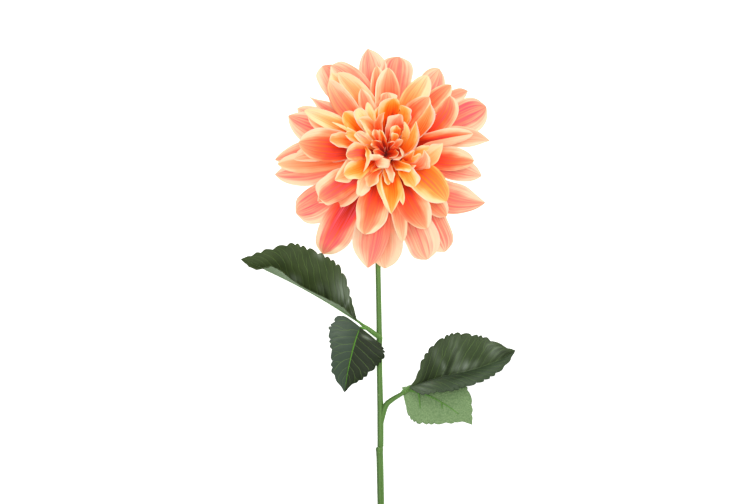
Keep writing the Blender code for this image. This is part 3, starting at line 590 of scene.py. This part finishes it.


# The receptacle inside the bloom is seen only as the dark eye between the petals; its dark colour is
# painted shade.
receptacle = dict(profile=[(0.0, 15.7), (10.0, 15.7), (13.0, 22.0), (12.5, 28.0), (9.5, 32.0),
                           (5.0, 34.5), (0.0, 35.0)])
turnedSteps = 48  # round the receptacle and the cup


def paintedEyeShade():
    board = Board("paintedEyeShade")
    spot = board.node("ShaderNodeTexCoord", output=3)
    grain = board.noise(spot, 600.0, 3.0)
    # painted shade: dark maroon where the bloom's hollow lies in shade
    colour = board.mix(grain, tone(84, 10, 4), tone(140, 30, 8))
    return board.finish(colour, 0.8, board.bump(grain, 0.5, 0.0008))


def turned(name, profile, finish, slotName, node):
    bm = bmesh.new()
    newMaps(bm)
    chain = [bm.verts.new(place((radius, 0.0, height))) for radius, height in profile]
    edges = [bm.edges.new(pair) for pair in zip(chain, chain[1:])]
    bmesh.ops.spin(bm, geom=chain + edges, cent=place((0, 0, 0)), axis=(0, 0, 1), angle=2 * math.pi,
                   steps=turnedSteps, use_merge=True)
    bmesh.ops.remove_doubles(bm, verts=bm.verts[:], dist=1e-6)
    bmesh.ops.recalc_face_normals(bm, faces=bm.faces[:])
    for face in bm.faces:
        face.smooth = True
    return newPiece(name, bm, [finish], slotName, node)


# A leaf's midrib is steered by four points. Each half has rows, evenly stepped from root to tip:
# where along the midrib its margin is, how far out, and how steeply the half rises from the midrib.
# Bend turns the left and right half down further out, and the next pair paints each half: above 0 a pale
# highlight veils it, below 0 painted shade darkens it.
# RibSide is 1 where a leaf lies face down. Veins counts the side veins, cut is the teeth's depth
# and glow how bright the midrib is. A painted highlight patch has its place across and along, its
# reach each way and its strength; painted shade along a fold has its start, end, reach and
# strength. Across runs from -1 to 1.
leaves = dict(
    leafUpperLeft=dict(
        node="leaf_upper_left", ribSide=-1, teeth=16, cut=2.2, veins=16.0, glow=0.15, seed=0.31,
        rib=[(-19.5, -118.0, 5.6), (-50.0, -98.0, 3.4), (-70.0, -88.0, 3.4), (-101.0, -75.0, 5.0)],
        left=[(0, 0, 100), (0.1, 9, 112), (0.2, 15, 105), (0.3, 18, 101), (0.4, 19, 99), (0.5, 19, 99),
              (0.6, 18, 103), (0.7, 17, 110), (0.8, 13, 108), (0.9, 5, 60), (1, 0, 20)],
        right=[(0, 0, 24), (0.105, 11.3, 24), (0.2, 21.2, 24), (0.3, 27.8, 24), (0.4, 29.1, 24),
               (0.5, 29, 24), (0.6, 28.2, 24), (0.7, 26.4, 24), (0.8, 19.2, 24), (0.9, 10.6, 22),
               (1, 0, 20)],
        bend=(-10, -14), halfSheenShade=(0.12, 0.05),
        paintedGloss=[(0.62, 0.18, 0.34, 0.07, 1.0), (0.94, 0.47, 0.07, 0.04, 0.6), (0.12, 0.56, 0.1, 0.05, 0.5),
               (0.5, 0.05, 0.3, 0.02, 0.7), (0.5, 0.115, 0.4, 0.012, 0.9), (0.25, 0.33, 0.12, 0.05, 0.4)],
        creaseShades=[((0.08, 0.25), (0.5, 0.4), 0.024, 0.7), ((0.02, 0.33), (0.03, 0.48), 0.026, 0.6),
                 ((0.1, 0.57), (0.36, 0.66), 0.022, 0.3), ((0.1, 0.13), (0.5, 0.13), 0.022, 0.4)]),
    leafMiddleLeft=dict(
        node="leaf_middle_left", ribSide=-1, teeth=12, cut=2.0, veins=9.0, glow=1.0, seed=0.77,
        rib=[(-17.4, -122.6, 7.8), (-22.0, -134.0, 10.0), (-26.0, -150.0, 11.0), (-28.2, -168.0, 7.6)],
        left=[(0, 0, 8), (0.12, 15, 8), (0.2, 19.6, 8), (0.3, 22.4, 8), (0.4, 22.8, 8), (0.5, 21, 8),
              (0.6, 18.2, 8), (0.7, 14.9, 8), (0.8, 11, 8), (0.88, 5.1, 8), (1, 0, 8)],
        right=[(0, 0, 26), (-0.05, 16.5, 26), (0.12, 20.5, 26), (0.2, 21.7, 26), (0.3, 19.6, 26),
               (0.4, 17.4, 26), (0.5, 15.1, 26), (0.62, 13.6, 26), (0.77, 11.2, 24), (0.9, 5.1, 20),
               (1, 0, 16)],
        bend=(-14, -18), halfSheenShade=(-1.0, 0.75),
        paintedGloss=[(-0.4, 0.13, 0.2, 0.03, 0.7), (0.7, 0.3, 0.4, 0.22, 0.25)],
        creaseShades=[((-0.05, 0.1), (-0.8, 0.42), 0.03, 0.3), ((-0.02, 0.5), (-0.4, 0.62), 0.024, 0.3)]),
    leafUpperRight=dict(
        node="leaf_upper_right", ribSide=-1, teeth=15, cut=2.0, veins=14.0, glow=0.1, seed=0.13,
        rib=[(17.0, -164.4, 8.0), (40.0, -154.5, 9.5), (66.0, -156.0, 12.0), (91.0, -138.6, 9.0)],
        left=[(0, 0, 40), (0.09, 5.3, 40), (0.19, 17.3, 40), (0.29, 24.9, 40), (0.4, 29.4, 40),
              (0.5, 31.2, 40), (0.61, 29.4, 40), (0.72, 25.4, 40), (0.81, 21, 38), (0.91, 11.5, 34),
              (1, 0, 30)],
        right=[(0, 0, 40), (0.08, 8.7, 62), (0.19, 13.4, 88), (0.3, 17, 96), (0.4, 18, 94),
               (0.5, 15.5, 90), (0.6, 14.2, 84), (0.7, 11.8, 74), (0.8, 9, 60), (0.9, 5.6, 50),
               (1, 0, 40)],
        bend=(-44, -92), halfSheenShade=(0.3, 0.5),
        paintedGloss=[(-0.16, 0.55, 0.12, 0.12, 0.9), (-0.5, 0.84, 0.3, 0.07, 0.7),
               (-0.3, 0.36, 0.14, 0.02, 0.9), (-0.55, 0.5, 0.3, 0.05, 0.35), (0.5, 0.14, 0.4, 0.09, 0.6),
               (-0.7, 0.32, 0.3, 0.03, 0.3), (0.25, 0.36, 0.14, 0.1, 0.35), (-0.1, 0.34, 0.06, 0.02, 0.8)],
        creaseShades=[((-0.08, 0.36), (-0.62, 0.5), 0.026, 0.7), ((-0.1, 0.24), (-0.5, 0.3), 0.026, 0.5),
                 ((-0.02, 0.1), (-0.03, 0.35), 0.03, 0.7), ((0.01, 0.35), (0.02, 0.7), 0.02, 0.6),
                 ((-0.1, 0.16), (-0.9, 0.3), 0.09, 0.8), ((0.5, 0.5), (0.55, 0.95), 0.12, 0.45),
                 ((-0.35, 0.93), (0.5, 0.9), 0.07, 0.6)]),
    leafLowerRight=dict(
        node="leaf_lower_right", ribSide=1, teeth=11, cut=1.2, veins=7.0, glow=0.6, seed=0.52,
        rib=[(12.8, -166.8, 3.0), (28.0, -166.0, 2.8), (46.0, -178.0, 2.4), (61.0, -191.0, 1.4)],
        left=[(-0.02, 2.2, -1), (0.06, 3.2, -1), (0.18, 6.5, -1), (0.3, 14, -1), (0.42, 18.2, -1),
              (0.54, 19.3, -1), (0.64, 19.3, -1), (0.73, 18.2, -1), (0.82, 13.7, -1), (0.92, 6.7, -1),
              (1, 0, -1)],
        right=[(0, 4, -1), (0.08, 13.5, -1), (0.18, 18.6, -1), (0.29, 20.6, -1), (0.4, 21, -1),
               (0.5, 19.3, -1), (0.6, 16.7, -1), (0.7, 13, -1), (0.8, 8.4, -1), (0.89, 2.9, -1),
               (1, 0, -1)],
        bend=(0, 0), halfSheenShade=(0.0, 0.0), paintedGloss=[], creaseShades=[]))
leafCut = dict(across=32, along=220, thickness=0.5)


def bezier(points, t):
    a, b, c, d = [Vector(point) for point in points]
    u = 1.0 - t
    spot = a * u ** 3 + b * 3 * u * u * t + c * 3 * u * t * t + d * t ** 3
    way = (b - a) * u * u + (c - b) * 2 * u * t + (d - c) * t * t
    return spot, way.normalized()


def between(rows, t):  # a smooth course through evenly stepped rows
    at = min(t * (len(rows) - 1), len(rows) - 1.001)
    k = int(at)
    u = at - k
    near = [rows[min(max(k + step, 0), len(rows) - 1)] for step in (-1, 0, 1, 2)]
    return [0.5 * (b * 2 + (c - a) * u + (a * 2 - b * 5 + c * 4 - d) * u * u
                   + (b * 3 - a - c * 3 + d) * u ** 3) for a, b, c, d in zip(*near)]


def leafSurface(leaf):
    length = (Vector(leaf["rib"][3]) - Vector(leaf["rib"][0])).length

    def surface(s, t):
        middle, way = bezier(leaf["rib"], t)
        level = Vector((0, 0, 1)).cross(way).normalized()  # to the left, seen from above
        face = way.cross(level)
        share = abs(s)
        rows = leaf["left" if s < 0 else "right"]
        ahead, width, rise = between(rows, t)
        count = t * leaf["teeth"] + 0.25 * math.sin(t * 23.0 + leaf["seed"] * 9.0 + (s > 0))
        tooth = count % 1.0
        depth = leaf["cut"] * (0.7 + 0.6 * ((int(count) * goldenStep + leaf["seed"]) % 1.0))
        notch = 1.0 - math.sin(math.pi * tooth ** 1.3) ** 0.6
        notch *= ease(0.05, 0.12, t) * (1.0 - ease(0.93, 0.98, t))
        inset = depth * notch * max(0.0, (share - 0.75) / 0.25) ** 2
        before = between(rows, max(t - 0.02, 0.0))
        after = between(rows, min(t + 0.02, 1.0))
        course = Vector(((after[0] - before[0]) * length, after[1] - before[1])).normalized()
        width = max(width - inset * course.x, 0.1)  # the teeth are cut square to the margin
        start = math.radians(rise)
        change = math.radians(leaf["bend"][s > 0])
        if abs(change) > 1e-6:  # the half follows an arc
            out = (math.sin(start + change * share) - math.sin(start)) / change
            up = (math.cos(start) - math.cos(start + change * share)) / change
        else:
            out = share * math.cos(start)
            up = share * math.sin(start)
        outward = level if s < 0 else -level
        ripple = 0.5 * share ** 2 * math.sin(t * leaf["veins"] * 2.0 + leaf["seed"] * 20.0 + s)
        spot = middle + outward * (width * out) + face * (width * up + ripple * min(width / 6.0, 1.0))
        spot += way * (((ahead - t) * length) * share + inset * (course.y - 0.3))
        spot.z = max(spot.z, tableGap)
        return spot

    return surface


# painted highlight: how strongly the painted shine patches lie at this place
def paintedSheenAt(leaf, s, t):
    return sum(amount * math.exp(-((s - across) / wide) ** 2 - ((t - along) / long) ** 2)
               for across, along, wide, long, amount in leaf["paintedGloss"])


# painted shade: how deep the place lies in the shade painted along a leaf's folds
def creaseShadeAt(leaf, s, t):  # each crease fades towards its end
    shade = 0.0
    for (s1, t1), (s2, t2), reach, amount in leaf["creaseShades"]:
        alongRib = abs(s2 - s1) < 0.05
        share = (t - t1) / (t2 - t1) if alongRib else (s - s1) / (s2 - s1)
        share = min(1.0, max(0.0, share))
        gap = math.hypot(t - t1 - (t2 - t1) * share, (s - s1 - (s2 - s1) * share) * 0.4)
        shade = max(shade, amount * math.exp(-(gap / reach) ** 2) * (1.0 - share * 0.6))
    return shade


def leafInto(bm, leaf):
    def notes(s, t):
        return dict(dye=(leaf["veins"], leaf["glow"]), lot=(leaf["seed"], leaf["halfSheenShade"][s > 0]),
                    tint=(paintedSheenAt(leaf, s, t), creaseShadeAt(leaf, s, t)))

    sheetInto(bm, newMaps(bm), leafCut["across"], leafCut["along"], leafSurface(leaf), notes)


def leafVeins(board):
    across, along, _ = board.split(board.uv("blade"))
    veins, glow, _ = board.split(board.uv("dye"))
    seed, halfSheenShade, _ = board.split(board.uv("lot"))
    side = abs(across * 2.0 - 1.0)
    spot = board.node("ShaderNodeTexCoord", output=3)
    wander = board.noise(spot, 110.0, 2.0)
    course = along * veins - side * veins * (0.2 + along * 0.12) + (wander - 0.5) * 0.6 + seed
    strand = abs(board.math("FRACT", course) - 0.5)
    fork = abs(board.math("FRACT", course + board.band(side, 0.35, 1.0) * 0.75) - 0.5)
    main = (1.0 - board.band(strand, 0.012, 0.048)) * (1.0 - board.band(side, 0.7, 1.0))
    broken = board.band(board.noise(spot, 60.0, 1.0), 0.42, 0.55)
    minor = (1.0 - board.band(fork, 0.010, 0.040)) * board.band(side, 0.36, 0.42) * 0.7
    minor = minor * (1.0 - board.band(side, 0.8, 1.0)) * broken
    branch = board.math("MAXIMUM", main, minor)
    midrib = (1.0 - board.band(side, 0.008, 0.028)) * glow
    puff = board.math("SINE", board.math("FRACT", course) * math.pi + math.pi / 2)
    streak = board.noise(board.join(course * 1.6, side * 1.2, seed * 7.0), 1.0, 3.0, 0.6)
    return spot, branch, midrib, puff, streak, halfSheenShade


def leafTop():
    board = Board("leafTop")
    spot, branch, midrib, puff, streak, halfSheenShade = leafVeins(board)
    paintedSheen, shade, _ = board.split(board.uv("tint"))
    cloud = board.noise(spot, 70.0, 3.0)
    grain = board.noise(spot, 1500.0, 2.0)
    green = board.mix(cloud * 0.5 + streak * 0.5, tone(32, 46, 20), tone(82, 99, 53))
    # painted light: a pale highlight veils a half whose value is above 0, and painted shade darkens a half
    # whose value is below 0
    green = board.mix(board.band(halfSheenShade, 0.0, 1.0) * (0.7 + cloud * 0.5), green, tone(64, 80, 68))
    green = board.mix(board.band(halfSheenShade * -1.0, 0.0, 1.0) * 0.8, green, tone(16, 28, 12))
    # painted highlight: a pale shine painted where the leaf would catch the light
    green = board.mix(paintedSheen * (0.25 + board.band(streak, 0.35, 0.65) * 0.7), green, tone(140, 152, 134))
    # painted shade along the folds
    green = board.mix(shade, green, tone(24, 32, 14))
    green = board.mix(branch * 0.45, green, tone(110, 140, 70))
    green = board.mix(midrib * 0.9, green, tone(88, 150, 42))
    height = puff * puff * 0.35 + branch * -0.4 + grain * 0.1
    return board.finish(green, 0.5 - paintedSheen * 0.1, board.bump(height, 0.4, 0.0006),
                        Specular_IOR_Level=0.2)


def leafUnder():
    board = Board("leafUnder")
    spot, branch, midrib, _, _, halfSheenShade = leafVeins(board)
    speck = board.noise(spot, 1000.0, 2.0, 0.7)
    cloud = board.noise(spot, 80.0, 2.0)
    green = board.mix(board.band(speck, 0.25, 0.75), tone(100, 131, 80), tone(139, 168, 115))
    green = board.mix(cloud * 0.3, green, tone(110, 140, 92))
    # painted shade on the underside of a half that carries a painted highlight on top
    green = board.mix(board.band(halfSheenShade, 0.02, 0.1) * 0.8, green, tone(84, 106, 72))
    green = board.mix((branch * 0.55 + midrib * 0.5) * 0.5, green, tone(160, 190, 128))
    return board.finish(green, 0.75, board.bump(speck + branch * 0.6, 0.35, 0.0005))


def makeLeaves(top, under):
    for name, leaf in leaves.items():
        bm = bmesh.new()
        leafInto(bm, leaf)
        pair = [top, under] if leaf["ribSide"] < 0 else [under, top]
        piece = newPiece(name, bm, pair, "leaves", leaf["node"])
        shell(piece, leafCut["thickness"], levels=0, backIndex=1)
        print("leaf:", name)


# The stem's stations give x and y from the eye, height and radius. The upper rod starts as a plug in
# the lower one's lip. Side ribs have a start and an end on the lower right leaf, radius and glow.
stem = dict(
    lower=[(-1.8, -296.0, 2.45, 2.45), (-3.6, -214.0, 2.45, 2.45), (-3.8, -209.8, 2.5, 2.5),
           (-3.85, -208.4, 2.75, 2.75), (-3.85, -207.3, 2.75, 2.72), (-3.85, -206.8, 2.6, 2.4)],
    upper=[(-3.4, -209.0, 2.5, 1.7), (-3.3, -206.7, 2.5, 1.75), (-3.2, -206.0, 2.45, 2.2),
           (-3.15, -200.0, 2.4, 2.2), (-3.2, -190.0, 2.35, 2.25), (-3.2, -180.0, 2.3, 2.25),
           (-3.4, -174.0, 2.25, 2.15), (-3.8, -154.0, 2.15, 2.0), (-3.9, -134.0, 2.1, 2.0),
           (-3.8, -130.0, 2.1, 2.1), (-4.0, -126.0, 2.0, 1.95), (-4.4, -104.0, 1.95, 1.9),
           (-4.9, -80.0, 1.95, 1.85)],
    neck=[(-4.9, -80.0, 1.95, 1.85), (-4.4, -46.0, 2.35, 2.1), (-3.2, -24.0, 2.9, 2.3),
          (-1.4, -9.0, 5.4, 2.35), (-0.2, -1.4, 10.0, 2.35), (0.0, 0.0, 13.2, 2.35)],
    leftStalk=[(-3.4, -132.0, 2.2, 1.2), (-3.6, -129.8, 2.8, 1.8), (-7.2, -127.2, 4.2, 1.75),
               (-11.6, -123.8, 5.0, 1.6), (-17.0, -120.1, 4.4, 0.9)],
    rightStalk=[(-2.9, -194.0, 2.4, 1.0), (-1.6, -184.5, 2.8, 1.9), (0.8, -177.0, 3.6, 2.0),
                (5.2, -173.0, 4.6, 1.75), (10.4, -169.8, 5.4, 1.5), (16.4, -166.4, 5.4, 1.0)],
    sides=40, ribRadius=0.85, ribTip=0.3, ribReach=0.8,
    sideRibs=[((0.0, 0.22), (0.5, 0.33), 0.75, 0.6), ((0.0, 0.55), (0.22, 0.6), 0.6, 0.4)])

# The cup under the bloom is a turned body and its bracts, which run from root out by reach.
cup = dict(profile=[(0.0, 14.0), (3.6, 14.0), (7.0, 14.4), (9.0, 15.4), (0.0, 15.4)], bracts=6, root=5.0,
           reach=15.0, half=4.8, widest=0.4, neck=0.7, point=0.9, lift=0.6, upturn=3.0, dish=1.2,
           across=12, along=24, thickness=0.6)


def sampled(rows, count):
    return [between(rows, step / count) for step in range(count + 1)]


def rodInto(bm, maps, stations, groove=0.0, brightness=0.0):
    spots = [Vector(station[:3]) for station in stations]
    side = Vector((1, 0, 0))
    rings = []
    for number, spot in enumerate(spots):
        way = (spots[min(number + 1, len(spots) - 1)] - spots[max(number - 1, 0)]).normalized()
        side = (side - way * side.dot(way)).normalized()
        rings.append((spot, side, side.cross(way), stations[number][3]))
    rings.insert(0, (*rings[0][:3], 0.0))  # the ends are closed flat
    rings.append((*rings[-1][:3], 0.0))
    steps = len(rings) - 1

    def surface(s, t):
        spot, side, up, radius = rings[round(t * steps)]
        angle = math.pi * s  # from the top, round to the underside
        radius *= 1.0 - 0.12 * groove * math.exp(-((s + 0.16) / 0.06) ** 2)
        return spot + up * (radius * math.cos(angle)) + side * (radius * math.sin(angle))

    verts = sheetInto(bm, maps, stem["sides"], steps, surface,
                      lambda s, t: dict(dye=(groove, brightness)))
    bmesh.ops.remove_doubles(bm, verts=verts, dist=1e-7)


def stemFinish():
    board = Board("stemFinish")
    spot = board.node("ShaderNodeTexCoord", output=3)
    across, _, _ = board.split(board.uv("blade"))
    groove, brightness, _ = board.split(board.uv("dye"))
    x, y, z = board.split(spot)
    fibre = board.noise(board.join(x * 900.0, y * 30.0, z * 900.0), 1.0, 3.0)
    speck = board.noise(spot, 700.0, 2.0)
    green = board.mix(fibre, tone(74, 112, 44), tone(102, 144, 66))
    # painted shade down the rod's left side by its groove, and a painted highlight down its right side, as
    # the light falls from the right
    paintedLeftShade = board.band(across, 0.18, 0.25) * (1.0 - board.band(across, 0.39, 0.45))
    paintedRightHighlight = board.band(across, 0.62, 0.72) * (1.0 - board.band(across, 0.76, 0.82))
    green = board.mix(paintedLeftShade * groove * 0.85, green, tone(58, 88, 34))
    green = board.mix(paintedRightHighlight * 0.3, green, tone(134, 168, 106))
    green = board.mix(brightness * 0.8, green, tone(104, 166, 62))
    green = board.mix(board.band(speck, 0.62, 0.75) * 0.4, green, tone(150, 178, 116))
    return board.finish(green, 0.5, board.bump(fibre, 0.3, 0.0004), Specular_IOR_Level=0.4)


def leafLine(leaf, start, end, face, thick, thin, count=12):  # a rib that lies on the blade
    surface = leafSurface(leaf)
    stations = []
    for step in range(count + 1):
        share = step / count
        s, t = [a + (b - a) * share for a, b in zip(start, end)]
        spot = surface(s, t)
        way = bezier(leaf["rib"], t)[1]
        level = Vector((0, 0, 1)).cross(way).normalized()
        radius = thick + (thin - thick) * share
        lift = radius * 0.8 + (0.0 if face > 0 else 0.3)  # clear of the cloth, also below it
        stations.append((*(spot + way.cross(level) * face * lift), radius))
    return stations


def makeStem(finish):
    bm = bmesh.new()
    maps = newMaps(bm)
    rodInto(bm, maps, stem["lower"], groove=1.0)
    newPiece("stemLower", bm, [finish], "stem", "stem_lower")
    bm = bmesh.new()
    maps = newMaps(bm)
    rodInto(bm, maps, stem["upper"] + sampled(stem["neck"], count=40)[1:], groove=1.0)
    rodInto(bm, maps, sampled(stem["leftStalk"], count=24), groove=0.3, brightness=0.2)
    rodInto(bm, maps, sampled(stem["rightStalk"], count=30), groove=0.8)
    for name, leaf in leaves.items():
        stalk = stem["leftStalk" if name.endswith("Left") else "rightStalk"]
        rib = leafLine(leaf, (0.0, 0.0), (0.0, stem["ribReach"]), leaf["ribSide"], stem["ribRadius"],
                       stem["ribTip"])
        rodInto(bm, maps, [stalk[-2][:3] + (1.0,), *rib], brightness=leaf["glow"])
    lowerRight = leaves["leafLowerRight"]
    for start, end, radius, brightness in stem["sideRibs"]:
        rib = leafLine(lowerRight, start, end, lowerRight["ribSide"], radius, stem["ribTip"])
        rodInto(bm, maps, rib, brightness=brightness)
    newPiece("stemUpper", bm, [finish], "stem", "stem_upper")
    print("stem")


def makeCup(finish):
    bm = bmesh.new()
    maps = newMaps(bm)
    for number in range(cup["bracts"]):
        turn = 2.0 * math.pi * (number + 0.5) / cup["bracts"]
        out = Vector((math.cos(turn), math.sin(turn), 0.0))
        side = Vector((-math.sin(turn), math.cos(turn), 0.0))

        def surface(s, t):
            half = cup["half"] * bladeWidth(t, cup["widest"], cup["neck"], cup["point"])
            height = cup["profile"][0][1] + cup["lift"] + cup["upturn"] * t ** 3
            height += cup["dish"] * s * s * t * t
            return out * (cup["root"] + cup["reach"] * t) + side * half * s + Vector((0, 0, height))

        sheetInto(bm, maps, cup["across"], cup["along"], surface, lambda s, t: {})
    piece = newPiece("cupBracts", bm, [finish], "stem", "calyx")
    shell(piece, cup["thickness"], levels=1)
    turned("cupBody", cup["profile"], finish, "stem", "calyx")
    print("calyx")


# The camera looks straight down at aim, in millimetres from the eye. All else here is in metres.
studio = dict(aim=(-4.9, -70.0), cameraHeight=2.5, lens=170.0, farthest=20.0, floorReach=3.0,
              floorDrop=0.0002, floorGlow=0.75, roomLight=0.41)
lamps = dict(  # place, size, power and what it is turned to
    keyLight=((0.7, 0.9, 1.6), 0.9, 14.0, (0.0, 0.0, 0.0)),
    fillLight=((-1.1, -0.6, 1.4), 1.4, 10.0, (0.0, 0.0, 0.0)),
    topLight=((0.0, 0.2, 2.3), 0.4, 13.0, (0.0, 0.1, 0.0)))


def makeCamera():
    data = bpy.data.cameras.new("camera")
    data.lens = studio["lens"]
    data.clip_end = studio["farthest"]
    camera = bpy.data.objects.new("camera", data)
    camera.location = place((*studio["aim"], 0.0)) + Vector((0, 0, studio["cameraHeight"]))
    bpy.context.scene.collection.objects.link(camera)
    bpy.context.scene.camera = camera


def areaLight(name, location, size, power, target):
    data = bpy.data.lights.new(name, "AREA")
    data.shape = "SQUARE"
    data.size = size
    data.energy = power
    lamp = bpy.data.objects.new(name, data)
    lamp.location = location
    lamp.rotation_euler = (Vector(target) - Vector(location)).to_track_quat("-Z", "Y").to_euler()
    bpy.context.scene.collection.objects.link(lamp)


def makeStudio():
    bm = bmesh.new()
    bmesh.ops.create_grid(bm, x_segments=1, y_segments=1, size=studio["floorReach"])
    mesh = bpy.data.meshes.new("floor")
    bm.to_mesh(mesh)
    bm.free()
    floor = bpy.data.objects.new("floor", mesh)
    floor.location.z = -studio["floorDrop"]
    bpy.context.scene.collection.objects.link(floor)
    mesh.materials.append(Board("floorFinish").finish((0.9, 0.9, 0.9), 0.9, Emission_Color=(1, 1, 1, 1),
                                                      Emission_Strength=studio["floorGlow"]))
    world = bpy.data.worlds.new("room")
    world.use_nodes = True
    sky = world.node_tree.nodes["Background"]
    sky.inputs["Color"].default_value = (1, 1, 1, 1)
    sky.inputs["Strength"].default_value = studio["roomLight"]
    bpy.context.scene.world = world
    for name, lamp in lamps.items():
        areaLight(name, *lamp)
    bpy.context.scene.view_settings.view_transform = "Standard"


makeCamera()
print("camera")
makePetals(petalFace(), petalBack())
turned("receptacle", receptacle["profile"], paintedEyeShade(), "petals", "bloom")
print("receptacle")
makeLeaves(leafTop(), leafUnder())
stemGreen = stemFinish()
makeStem(stemGreen)
makeCup(stemGreen)
makeStudio()
print("studio")
